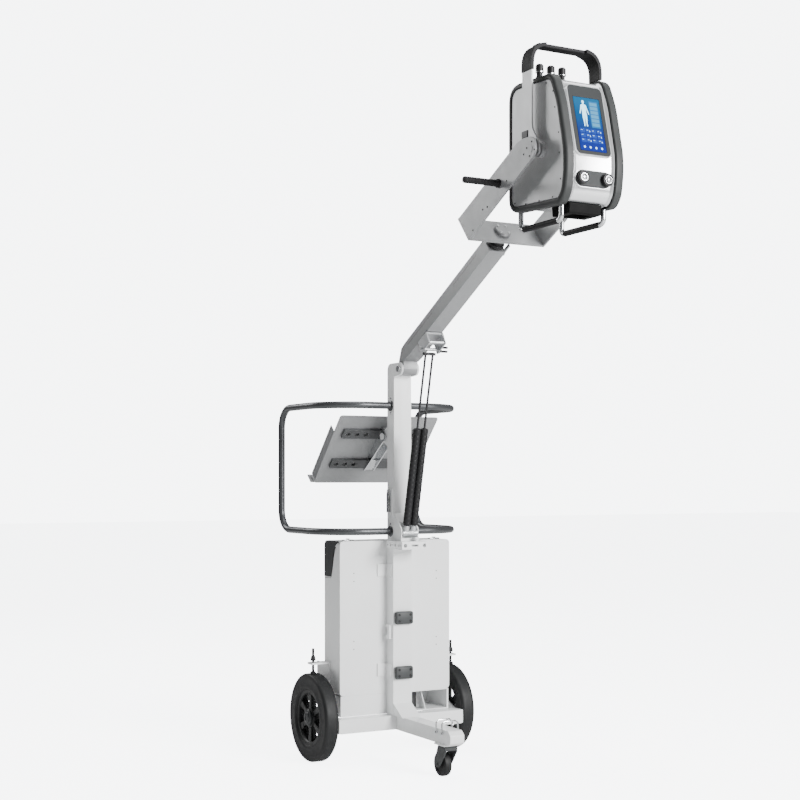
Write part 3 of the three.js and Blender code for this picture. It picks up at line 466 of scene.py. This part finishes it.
# ---- Boom with its clevis, levers and swivel collar ----
# Rectangular tube in silver enamel, closed at its upper end by a slanted cap. The clevis for the
# gas springs is clamped under it, and a black bearing collar carries the yoke.
silver_enamel = finish("silver_enamel", (0.24, 0.245, 0.25), 0.36, metallic=0.2, mottle=0.03)
satin_steel = finish("satin_steel", (0.50, 0.51, 0.52), 0.34, metallic=0.9, grain=1200, dent=0.05)
dressed("boom", silver_enamel, 0.0022, 3)
dressed("spring_clevis", satin_steel, 0.001)
dressed("clevis_lever", black_plastic, 0.0012, 3)
dressed("swivel_clamp_lever", satin_steel, 0.0012)
swivel_cap = dressed("swivel_collar", black_plastic, 0.0008)
boom_slope = math.radians(28.7)
boom_start = at(0, -73.7, 1303.2)
boom_place = Matrix.Translation(boom_start) @ Matrix.Rotation(-boom_slope, 4, "X")


def on_boom(x, s, n):
    """A point s mm along the boom and n mm over its middle line."""
    return boom_place @ Vector((x / 1000, -s / 1000, n / 1000))


stripe_paint = finish("stripe_paint", (0.10, 0.05, 0.05), 0.45)
stripes = together(
    block(-27.25, -26.9, -190, -18, 8.4, 9.6, boom_place),
    block(-27.25, -26.9, -480, -330, 8.4, 9.6, boom_place),
)
new_piece("boom_stripe", *stripes, stripe_paint, "boom_arm", "silver_enamel", False)
saddle = block(-27.6, 27.6, -140, -108, -24.6, -18, boom_place)
saddle_piece = new_piece("boom_saddle", *saddle, bracket_paint, "boom_arm", "silver_enamel", False)
round_edges(saddle_piece, 0.001)

# ---- Yoke with its side grip ----
# One bent and welded strip of silver enamelled steel round the head. A rubber-sleeved peg on its
# left arm is the operator's grip.
grip_rubber = finish("grip_rubber", (0.008, 0.008, 0.009), 0.6, grain=1600, dent=0.2, mottle=0.15,
                     shine=0.2)
dressed("yoke", silver_enamel, 0.0014, 3)
grip_foot = on_boom(-126.3, 793, 5)
peg = [(0, 0), (12, 0), (12, 4), (10, 5), (9.2, 7)]
for groove in range(9):
    start = 14 + 10 * groove
    peg += [(9.2, start), (8.7, start + 1), (8.7, start + 2), (9.2, start + 3)]
peg += [(9.2, 106), (8, 109), (6, 110), (0, 110)]
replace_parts(new_piece("yoke_grip_sleeve", *turned(peg, (-1, 0, 0), grip_foot, 32), grip_rubber,
                      "yoke_frame", "black_grip"), "yoke_grip")

# ---- X-ray head: cover, bumpers and side panels ----
# A gloss silver cover wraps the head from the front to the back between two soft dark bumpers
# with a smooth curved outline. Painted side panels are let into the bumpers.
silver_cover = finish("silver_cover", (0.66, 0.67, 0.68), 0.22, metallic=0.6, coat=0.6, mottle=0.02)
bumper_rubber = finish("bumper_rubber", (0.030, 0.032, 0.032), 0.5, grain=1300, mottle=0.08, shine=0.25)
head_panel = finish("head_panel", (0.34, 0.345, 0.35), 0.32, metallic=0.35, mottle=0.03)
head_side = [
    (-759, 1610, 45), (-759, 1954, 50), (-966, 1943, 42), (-999, 1868, 300), (-1016, 1795, 400),
    (-1030, 1735, 300), (-1031, 1685, 300), (-1022, 1628, 60), (-998, 1600, 30),
]


def inset(corners, distance):
    """The corners moved inward by a distance in mm; they run clockwise seen from the left."""
    moved = []
    for i, (y, z, bend) in enumerate(corners):
        before = Vector((y - corners[i - 1][0], z - corners[i - 1][1])).normalized()
        after_corner = corners[(i + 1) % len(corners)]
        after = Vector((after_corner[0] - y, after_corner[1] - z)).normalized()
        left_of = Vector((-before.y, before.x)) + Vector((-after.y, after.x))
        step = left_of * (2 * distance / left_of.length_squared)
        moved.append((y + step.x, z + step.y, max(2, bend - distance)))
    return moved


def smoothed(corners, steps=10):
    """The outline as points, each corner rounded by its own radius."""
    points = []
    for i, (y, z, bend) in enumerate(corners):
        here = Vector((y, z))
        back = Vector(corners[i - 1][:2]) - here
        on = Vector(corners[(i + 1) % len(corners)][:2]) - here
        half = back.angle(on) / 2
        reach = min(bend / math.tan(half), 0.46 * back.length, 0.46 * on.length)
        a, b = here + back.normalized() * reach, here + on.normalized() * reach
        for k in range(steps + 1):
            f = k / steps
            points.append(a * (1 - f) ** 2 + here * 2 * f * (1 - f) + b * f ** 2)
    return points


def rail(sections):
    """A skin through rings of equal length, joined ring to ring and back to the first."""
    count = len(sections[0])
    points = [p for ring in sections for p in ring]
    faces = []
    for i in range(len(sections)):
        j = (i + 1) % len(sections)
        for k in range(count):
            n = (k + 1) % count
            faces.append((i * count + k, i * count + n, j * count + n, j * count + k))
    return points, faces


for side, way in (("left", -1), ("right", 1)):
    # the bumper's cross-section: [mm in from the outline, mm from the middle plane]
    section = [
        (15, 66.4), (1.5, 66.4), (0, 68), (0, 84), (0.7, 87), (2.6, 89.8), (5.4, 91.4), (9, 92),
        (13, 92), (14.6, 91.2), (15, 89.5),
    ]
    rings = [[at(way * x, p.x, p.y) for p in smoothed(inset(head_side, d))] for d, x in section]
    bumper = new_piece(f"bumper_{side}_moulded", *rail(rings), bumper_rubber, "head", "bumper")
    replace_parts(bumper, f"edge_bumper_{side}")

    rings = [[at(way * x, p.x, p.y) for p in smoothed(inset(head_side, d))]
             for d, x in [(15.2, 82.5), (15.2, 88.0), (16.0, 88.9), (17.2, 89.2)]]
    count = len(rings[0])
    points, faces = [p for ring in rings for p in ring], []
    for i in range(3):
        for k in range(count):
            n = (k + 1) % count
            faces.append((i * count + k, i * count + n, (i + 1) * count + n, (i + 1) * count + k))
    faces.append(tuple(reversed(range(count))))
    faces.append(tuple(3 * count + k for k in range(count)))
    pivot = joint_at["head_tilt"]
    hub = turned([
        (0, 0), (20, 0), (20, 11), (19, 12), (7.6, 12), (7.6, 36), (0, 36),
    ], (way, 0, 0), pivot + Vector((way * 0.089, 0, 0)), 48)
    panel = new_piece(f"side_panel_{side}_painted", *together((points, faces), hub), head_panel,
                      "head", "head_panel")
    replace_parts(panel, f"side_panel_{side}")

# the cover: a closed skin with a raised round lip against each bumper
section = [(12, 66), (8, 66), (6.6, 65), (6.2, 62.8), (7.2, 60.4), (9.2, 58.4), (10.3, 57), (10.7, 54)]
lip = [(d, -x) for d, x in section]
loop = section + list(reversed(lip)) + [(15, -66), (15, 66)]
rings = [[at(x, p.x, p.y) for p in smoothed(inset(head_side, d))] for d, x in loop]
cover = new_piece("head_cover_formed", *rail(rings), silver_cover, "head", "silver_cover")
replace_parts(cover, "head_shell")
dressed("xray_tube_housing", raw_iron, 0.003)
dressed("battery_pack", black_plastic, 0.003)
matt_black = finish("matt_black", (0.004, 0.004, 0.004), 0.7, shine=0.1)
dressed("collimator", matt_black, 0.0015, 3)

# ---- Guard handles under the head ----
# Bent round steel rod, chromed, with black rubber sleeves along the lower bars.
for side, way in (("left", -1), ("right", 1)):
    x = way * 66
    guard = [
        (at(x, -784, 1614.5), 0), (at(x, -784, 1565), 0.014), (at(x, -973, 1565), 0.014),
        (at(x, -973, 1601.4), 0),
    ]
    rod = new_piece(f"guard_handle_{side}_rod", *bar(guard, 0.007), bright_steel, "head", "bright_steel")
    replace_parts(rod, f"guard_handle_{side}")
    sleeve = bar([(at(x, -800, 1565), 0), (at(x, -957, 1565), 0)], 0.0082)
    new_piece(f"guard_handle_{side}_sleeve", *sleeve, grip_rubber, "head", "black_grip")

# ---- Connectors on top of the head ----
# Three black round plugs with knurled nuts and domed caps stand in a strip behind the handle.
dressed("connectors", black_plastic, 0.0008)
plug_rings = [
    turned([(7.6, 0), (11.2, 0.5), (11.2, 3), (7.6, 3.5)], (0, 0, 1), at(x, -828, 1980.5), 32)
    for x in (-36, 0, 36)
]
new_piece("connector_rings", *together(*plug_rings), bright_steel, "head", "bright_steel")

# ---- Screen and its bezel ----
# A matt dark bezel round a touch screen. The screen shows a plain figure of a body, a list of
# views and rows of keys, all drawn as thin lit shapes without any lettering.
bezel_plastic = finish("bezel_plastic", (0.026, 0.028, 0.029), 0.5, mottle=0.06, grain=1100, shine=0.15)
screen_lean = math.radians(14.2)
screen_place = Matrix.Translation(at(0, -994, 1823)) @ Matrix.Rotation(-screen_lean, 4, "X")


def plate(outline, back, front, hole=None):
    """A flat plate on the screen's plane, from back to front in mm; a hole has as many points."""
    def ring(shape, depth):
        return [screen_place @ Vector((u / 1000, -depth / 1000, v / 1000)) for u, v in shape]
    count = len(outline)
    if hole:
        return rail([ring(outline, back), ring(outline, front), ring(hole, front), ring(hole, back)])
    points = ring(outline, back) + ring(outline, front)
    faces = [(k, (k + 1) % count, count + (k + 1) % count, count + k) for k in range(count)]
    return points, faces + [tuple(reversed(range(count))), tuple(count + k for k in range(count))]


def rounded(half_w, low, high, corner, middle=0):
    """A rounded oblong as (across, up) points from its low edge to its high edge."""
    shape = []
    for du, v, dv, start in ((1, high, -1, 0), (-1, high, -1, 90), (-1, low, 1, 180), (1, low, 1, 270)):
        for k in range(9):
            a = math.radians(start + 11.25 * k)
            shape.append((middle + du * (half_w - corner) + corner * math.cos(a),
                          v + dv * corner + corner * math.sin(a)))
    return shape


frame_plate = plate(rounded(54, -100.5, 92, 13), -14, 6.9, rounded(41.2, -90.7, 59.7, 2))
bezel = new_piece("screen_bezel_made", *frame_plate, bezel_plastic, "head", "bumper", False)
round_edges(bezel, 0.0016, 3)
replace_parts(bezel, "screen_bezel")
trim = plate(rounded(56.4, -102.9, 92, 15), -14, 6.1, rounded(53.9, -100.4, 91.9, 13))
trim_piece = new_piece("screen_trim", *trim, silver_cover, "head", "silver_cover", False)
round_edges(trim_piece, 0.0008)


def lit(name, colour, strength=1.0):
    """A colour that the display gives off, under a clear gloss."""
    material = bpy.data.materials.new(name)
    material.use_nodes = True
    nodes, links = material.node_tree.nodes, material.node_tree.links
    shader = nodes["Principled BSDF"]
    shader.inputs["Roughness"].default_value = 0.35
    shader.inputs["Specular IOR Level"].default_value = 0.15
    shader.inputs["Emission Strength"].default_value = strength
    place = nodes.new("ShaderNodeTexCoord").outputs["Object"]
    flicker = nodes.new("ShaderNodeTexNoise")
    flicker.inputs["Scale"].default_value = 60.0
    tone = nodes.new("ShaderNodeValToRGB")
    tone.color_ramp.elements[0].color = [c * 0.85 for c in colour] + [1]
    tone.color_ramp.elements[1].color = list(colour) + [1]
    links.new(place, flicker.inputs["Vector"])
    links.new(flicker.outputs["Fac"], tone.inputs["Fac"])
    links.new(tone.outputs["Color"], shader.inputs["Base Color"])
    links.new(tone.outputs["Color"], shader.inputs["Emission Color"])
    return material


display = bpy.data.materials.new("display")
display.use_nodes = True
nodes, links = display.node_tree.nodes, display.node_tree.links
shader = nodes["Principled BSDF"]
shader.inputs["Roughness"].default_value = 0.32
shader.inputs["Specular IOR Level"].default_value = 0.15
shader.inputs["Emission Strength"].default_value = 0.22
place = nodes.new("ShaderNodeTexCoord").outputs["Object"]
split = nodes.new("ShaderNodeSeparateXYZ")
height = nodes.new("ShaderNodeMapRange")
screen_low, screen_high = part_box("touch_screen")
height.inputs["From Min"].default_value = screen_low.z
height.inputs["From Max"].default_value = screen_high.z
haze = nodes.new("ShaderNodeTexNoise")
haze.inputs["Scale"].default_value = 22.0
mixed = nodes.new("ShaderNodeMath")
mixed.operation = "MULTIPLY_ADD"
mixed.inputs[1].default_value = 0.16
ramp = nodes.new("ShaderNodeValToRGB")
ramp.color_ramp.elements[0].position = 0.08
ramp.color_ramp.elements[0].color = (0.001, 0.010, 0.15, 1)
ramp.color_ramp.elements[1].position = 1.0
ramp.color_ramp.elements[1].color = (0.002, 0.065, 0.15, 1)
for position, colour in ((0.40, (0.001, 0.008, 0.11, 1)), (0.52, (0.001, 0.022, 0.12, 1))):
    ramp.color_ramp.elements.new(position).color = colour
links.new(place, split.inputs["Vector"])
links.new(split.outputs["Z"], height.inputs["Value"])
links.new(place, haze.inputs["Vector"])
links.new(haze.outputs["Fac"], mixed.inputs[0])
links.new(height.outputs["Result"], mixed.inputs[2])
links.new(mixed.outputs["Value"], ramp.inputs["Fac"])
links.new(ramp.outputs["Color"], shader.inputs["Base Color"])
links.new(ramp.outputs["Color"], shader.inputs["Emission Color"])
dressed("touch_screen", display, 0.0004, 1)


def drawn(name, outlines, material, lift=0.00015):
    """Flat shapes on the screen; outlines are lists of (across, up) in mm from its middle."""
    points, faces = [], []
    for outline in outlines:
        start = len(points)
        for u, v in outline:
            points.append(screen_place @ Vector((u / 1000, -0.0067 - lift, (v - 15.5) / 1000)))
        faces.append(tuple(range(start, start + len(outline))))
    mesh = bpy.data.meshes.new(name)
    mesh.from_pydata([tuple(p) for p in points], [], faces)
    mesh.materials.append(material)
    outward = screen_place.to_3x3() @ Vector((0, -1, 0))
    shape = bmesh.new()
    shape.from_mesh(mesh)
    for face in shape.faces:
        face.normal_update()
        if face.normal.dot(outward) < 0:
            face.normal_flip()
    shape.to_mesh(mesh)
    shape.free()
    piece = link(name, mesh)
    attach(piece, "head")
    return piece


def oval(u, v, across, up, steps=20):
    return [
        (u + across * math.cos(2 * math.pi * k / steps), v + up * math.sin(2 * math.pi * k / steps))
        for k in range(steps)
    ]


def tile(u, v, half_w, half_h, corner=1.2):
    shape = []
    for du, dv, start in ((1, 1, 0), (-1, 1, 90), (-1, -1, 180), (1, -1, 270)):
        for k in range(4):
            a = math.radians(start + 30 * k)
            shape.append((u + du * (half_w - corner) + corner * math.cos(a),
                          v + dv * (half_h - corner) + corner * math.sin(a)))
    return shape


half_body = [
    (1.9, 57.5), (2.1, 55.5), (7.2, 53.8), (9.2, 50.5), (11.2, 41), (14.2, 31.5), (14.6, 28),
    (12.8, 27.6), (11.4, 31), (8.2, 39.5), (6.9, 45.5), (6.4, 38), (6.1, 33), (7.2, 27),
    (6.9, 18), (5.6, 8), (5.2, -2), (6.4, -6), (2.4, -6.4), (1.6, 4), (0.9, 14), (0.35, 24),
]
figure = [(u - 12, v) for u, v in half_body] + [(-u - 12, v) for u, v in reversed(half_body)]
drawn("screen_figure", [figure, oval(-12, 61.6, 3.6, 4.9)], lit("figure_light", (0.42, 0.78, 0.95), 0.7))
drawn("screen_panel", [tile(20, 29, 14, 37)], lit("panel_light", (0.01, 0.10, 0.24), 0.25), 0.0001)
views = [tile(20, 58 - 11.5 * k, 11.5, 4.4) for k in range(6)]
drawn("screen_views", views, lit("view_light", (0.05, 0.19, 0.32), 0.25))
dark_keys = [tile(-26 + 17.4 * i, -19 - 13.5 * j, 7.6, 5.6) for i in range(4) for j in range(3)]
drawn("screen_keys", dark_keys, lit("key_light", (0.006, 0.035, 0.22), 0.3), 0.0001)
symbols = [tile(-28.5 + 17.4 * i, -17.6 - 13.5 * j, 2.6, 0.45, 0.3) for i in range(4) for j in range(3)]
symbols += [tile(-21.6 + 17.4 * i, -20 - 13.5 * j, 0.9, 1.8, 0.4) for i in (1, 3) for j in range(3)]
symbols += [oval(-27 + 18 * i, -65, 3.0, 3.0, 16) for i in range(4)]
drawn("screen_symbols", symbols, lit("symbol_light", (0.45, 0.72, 0.95), 0.6), 0.0002)

# ---- Knob plate and exposure buttons ----
# A dark oblong plate let into the cover, with two sprung buttons. Each button is a black collar
# round a bright domed cap.
knob_place = Matrix.Translation(at(0, -1014, 1666))


def oblong(half_w, half_h, back, front):
    shape = rounded(half_w, -half_h, half_h, half_h - 0.2)
    points = [
        knob_place @ Vector((u / 1000, -depth / 1000, v / 1000))
        for depth in (back, front) for u, v in shape
    ]
    count = len(shape)
    faces = [(k, (k + 1) % count, count + (k + 1) % count, count + k) for k in range(count)]
    return points, faces + [tuple(reversed(range(count))), tuple(count + k for k in range(count))]


knob_back = new_piece("knob_plate_made", *oblong(55, 21, -14, 9), bezel_plastic, "head", "bumper",
                      False)
round_edges(knob_back, 0.0015, 3)
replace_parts(knob_back, "knob_plate")
knob_rim = new_piece("knob_plate_rim", *oblong(57.5, 23.5, -14, 5.2), silver_cover, "head",
                     "silver_cover", False)
round_edges(knob_rim, 0.0012)
cap_silver = finish("cap_silver", (0.75, 0.76, 0.77), 0.16, metallic=0.9, mottle=0.03, dent=0.0)
for side, way in (("left", -1), ("right", 1)):
    base = at(way * 38, -1018.5, 1666)
    collar = turned([
        (0, 3), (11, 3), (11, 8), (15.6, 8.4), (16.4, 10), (16.4, 13), (15, 15.4), (12, 16),
        (10.8, 15), (0, 15),
    ], (0, -1, 0), base, 48)
    collar_piece = new_piece(f"button_{side}_collar", *collar, black_plastic, f"button_{side}",
                             "black_grip")
    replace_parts(collar_piece, f"exposure_button_{side}")
    ring = turned([(8.3, 14.9), (10.5, 14.9), (10.5, 16.4), (9.9, 16.9), (8.9, 16.9), (8.3, 16.4)],
                  (0, -1, 0), base, 48)
    dome = turned([(0, 14.9), (5.4, 14.9), (5.4, 16.2), (4.6, 16.9), (2.6, 17.5), (0, 17.7)],
                  (0, -1, 0), base, 32)
    new_piece(f"button_{side}_cap", *together(ring, dome), cap_silver, f"button_{side}", "bright_steel")

# ---- Carrying handle ----
# Two flat steel straps run up beside the head and join in a band over its top. Black rubber
# covers the band's corners, and a slimmer sleeve its middle; a grey clip sits low on each strap.
strap_paint = finish("strap_paint", (0.34, 0.345, 0.35), 0.34, metallic=0.5, mottle=0.03)
for side in ("left", "right"):
    dressed(f"handle_strap_{side}", strap_paint, 0.0012)
dressed("handle_grip", grip_rubber, 0.0022, 3)
middle_sleeve = block(-84, 84, -896, -864, 2027.5, 2038, Matrix.Translation((0, column_front, 0)))
clips = [
    block(way * 109 - 4, way * 109 + 4, -885, -858, 1790, 1808,
          Matrix.Translation((0, column_front, 0)))
    for way in (-1, 1)
]
middle_piece = new_piece("handle_middle", *middle_sleeve, grip_rubber, "carry_handle", "black_grip",
                         False)
round_edges(middle_piece, 0.004, 4)
clip_piece = new_piece("handle_clips", *together(*clips), grey_plastic, "carry_handle",
                       "grey_plastic", False)
round_edges(clip_piece, 0.001)

# ---- Gas springs ----
# Two gas springs side by side, their cylinders in ribbed black plastic covers, with chromed rods.
spring_line = Vector((0, -0.2227, 0.9749))
spring_foot_at = joint_at["spring_tilt"]
dressed("spring_foot", satin_steel, 0.0008)
rod_black = finish("rod_black", (0.03, 0.03, 0.032), 0.25, metallic=0.6, dent=0.0)
for side, way in (("left", -1), ("right", 1)):
    foot = spring_foot_at + Vector((way * 0.0126, 0, 0)) + spring_line * 0.0244
    cover = [(4.6, 2), (10.5, 2), (12.3, 6)]
    for rib in range(19):
        start = 12 + 15.4 * rib
        cover += [(12.3, start), (11.7, start + 1.2), (11.7, start + 2.4), (12.3, start + 3.6)]
    cover += [(12.3, 306), (11.6, 309.6), (9.8, 311), (4.6, 311)]
    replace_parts(new_piece(f"spring_cover_{side}_ribbed", *turned(cover, spring_line, foot, 40),
                          black_plastic, "spring_cylinders", "black_plastic"), f"spring_cover_{side}")
dressed("spring_rods", rod_black, 0.0004, 1)

# ---- Screws and bolts ----
# Socket-head screws hold the panels, blocks, brackets and yoke. One tree sets a turned head on
# each point and turns it to face along that point's own direction.
screw_tree = bpy.data.node_groups.new("screw_heads", "GeometryNodeTree")
screw_tree.interface.new_socket("Geometry", in_out="INPUT", socket_type="NodeSocketGeometry")
for label, value in (("Radius", 0.003), ("Height", 0.002)):
    socket = screw_tree.interface.new_socket(label, in_out="INPUT", socket_type="NodeSocketFloat")
    socket.default_value = value
sides_socket = screw_tree.interface.new_socket("Sides", in_out="INPUT", socket_type="NodeSocketInt")
sides_socket.default_value = 20
screw_tree.interface.new_socket("Material", in_out="INPUT", socket_type="NodeSocketMaterial")
screw_tree.interface.new_socket("Geometry", in_out="OUTPUT", socket_type="NodeSocketGeometry")
grow = screw_tree.nodes
group_in, group_out = grow.new("NodeGroupInput"), grow.new("NodeGroupOutput")
head = grow.new("GeometryNodeMeshCone")
crown = grow.new("ShaderNodeMath")
crown.operation = "MULTIPLY"
crown.inputs[1].default_value = 0.84
facing = grow.new("GeometryNodeInputNamedAttribute")
facing.data_type = "FLOAT_VECTOR"
facing.inputs["Name"].default_value = "facing"
turn = grow.new("FunctionNodeAlignRotationToVector")
turn.axis = "Z"
spread = grow.new("GeometryNodeInstanceOnPoints")
whole = grow.new("GeometryNodeRealizeInstances")
coloured = grow.new("GeometryNodeSetMaterial")
wire = screw_tree.links.new
wire(group_in.outputs["Sides"], head.inputs["Vertices"])
wire(group_in.outputs["Radius"], head.inputs["Radius Bottom"])
wire(group_in.outputs["Radius"], crown.inputs[0])
wire(crown.outputs[0], head.inputs["Radius Top"])
wire(group_in.outputs["Height"], head.inputs["Depth"])
wire(group_in.outputs["Geometry"], spread.inputs["Points"])
wire(head.outputs["Mesh"], spread.inputs["Instance"])
wire(facing.outputs["Attribute"], turn.inputs["Vector"])
wire(turn.outputs["Rotation"], spread.inputs["Rotation"])
wire(spread.outputs["Instances"], whole.inputs["Geometry"])
wire(whole.outputs["Geometry"], coloured.inputs["Geometry"])
wire(group_in.outputs["Material"], coloured.inputs["Material"])
wire(coloured.outputs["Geometry"], group_out.inputs["Geometry"])


def screws(name, body, places, radius, height, material, sides=20):
    """Screw heads in mm at (point, direction) places, made one plain mesh."""
    seed = bpy.data.meshes.new(name + "_places")
    seed.from_pydata([tuple(point) for point, _ in places], [], [])
    seed.attributes.new("facing", "FLOAT_VECTOR", "POINT")
    for i, (_, direction) in enumerate(places):
        seed.attributes["facing"].data[i].vector = Vector(direction)
    seed_piece = link(name + "_places", seed)
    grower = seed_piece.modifiers.new("heads", "NODES")
    grower.node_group = screw_tree
    given = {"Radius": radius / 1000, "Height": height / 1000, "Sides": sides, "Material": material}
    for item in screw_tree.interface.items_tree:
        if item.in_out == "INPUT" and item.name in given:
            grower[item.identifier] = given[item.name]
    bpy.context.view_layer.update()
    grown = seed_piece.evaluated_get(bpy.context.evaluated_depsgraph_get())
    mesh = bpy.data.meshes.new_from_object(grown)
    bpy.data.objects.remove(seed_piece)
    mesh.name = name
    for face in mesh.polygons:
        face.use_smooth = True
    mesh.set_sharp_from_angle(angle=math.radians(35))
    piece = link(name, mesh)
    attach(piece, body)
    return piece


front, left, right_way = (0, -1, 0), (-1, 0, 0), (1, 0, 0)
# Near black: the real colour of the dark screw heads, and painted shade where it marks a socket.
black_screw_and_socket_shade = finish("black_screw_and_socket_shade", (0.01, 0.01, 0.01), 0.6)


def socket_screws(name, body, places, radius, height, material):
    screws(name, body, places, radius, height, material)
    # Each socket is a small near-black hexagon standing just proud of the head: painted shade in place of the
    # socket's hollow.
    socket_shade_places = [(Vector(p) + Vector(d).normalized() * (height - 0.9) / 1000, d) for p, d in places]
    screws(name + "_sockets", body, socket_shade_places, radius * 0.52, 1.0, black_screw_and_socket_shade, 6)


block_screws = [
    (at(x, -17.3, z + dz), front)
    for z in (458, 284) for x in (-20, 20) for dz in (-10, 10)
]
socket_screws("clamp_block_screws", "base", block_screws, 4.2, 1.2, black_plastic)

column_screws = [(at(-31, 22, z), left) for z in (1156, 1108, 756, 708 + 10)]
column_screws += [(at(31, 22, z), right_way) for z in (1156, 1108, 756, 708 + 10)]
column_screws += [(at(-46.5, y, 690), left) for y in (-72, -22, 12)]
column_screws += [(at(x, -82, 690), front) for x in (-34, 34)]
column_screws += [(at(-33.5, 20, z), left) for z in (608, 600 - 12, 290, 430, 398)]
socket_screws("column_screws", "base", column_screws, 3.6, 1.4, bright_steel)

box_screws = [(at(x, 46.4, z), front) for x in (150, -150) for z in (600, 575, 385, 360)]
screws("box_screws", "base", box_screws, 1.8, 0.8, black_screw_and_socket_shade, 12)

pivot_here = joint_at["head_tilt"]
yoke_half, yoke_end, yoke_level = 126, 957, -14
yoke_dots = [
    (-13, 13), (-13, -13), (13, 13), (13, -13), (-32, 8), (-130, 0), (-240, 0), (-262, 8), (-330, -10),
]
yoke_screws = [
    (on_boom(way * yoke_half, yoke_end + along, yoke_level + up), out)
    for way, out in ((-1, left), (1, right_way)) for along, up in yoke_dots
]
screws("yoke_screws", "yoke_frame", yoke_screws, 2.6, 1.0, black_screw_and_socket_shade, 12)
yoke_slant = math.radians(11.2)
foot_tilt = boom_slope + yoke_slant
foot_axis = Vector((0, -math.cos(foot_tilt), math.sin(foot_tilt)))
foot_up = Vector((0, math.sin(foot_tilt), math.cos(foot_tilt)))
foot_middle = joint_at["yoke_turn"]
cap_foot = 0.006
disc_top = 0.0157
bolt_circle = 0.0185
swivel_cap.data.materials.append(silver_enamel)
heights = [(vertex.co - foot_middle).dot(foot_axis) for vertex in swivel_cap.data.vertices]
for face in swivel_cap.data.polygons:
    if all(heights[i] > cap_foot for i in face.vertices):
        face.material_index = 1
disc_screws = [
    (foot_middle + foot_axis * disc_top + Vector((math.cos(a), 0, 0)) * bolt_circle
     + foot_up * math.sin(a) * bolt_circle, foot_axis)
    for a in (math.radians(45 + 90 * k) for k in range(4))
]
socket_screws("swivel_disc_screws", body_of["swivel_collar"], disc_screws, 3.8, 2.2, satin_steel)

panel_dots = [
    (-776, 1932), (-774, 1868), (-774, 1782), (-774, 1696), (-790, 1634), (-842, 1624), (-905, 1623),
    (-966, 1622), (-1002, 1662), (-996, 1730), (-993, 1782), (-976, 1850), (-968, 1893), (-936, 1921),
    (-850, 1932),
]
panel_face = 89
panel_screws = [(at(way * panel_face, y, z), (way, 0, 0)) for way in (-1, 1) for y, z in panel_dots]
screws("panel_screws", "head", panel_screws, 2.4, 0.9, black_screw_and_socket_shade, 12)

pivot_caps = [
    turned([(0, 0), (9.5, 0), (9.5, 0.9), (0, 0.9)], (way, 0, 0),
           pivot_here + Vector((way * yoke_half / 1000, 0, 0)), 32)
    for way in (-1, 1)
]
new_piece("pivot_caps", *together(*pivot_caps), silver_enamel, "yoke_frame", "silver_enamel")
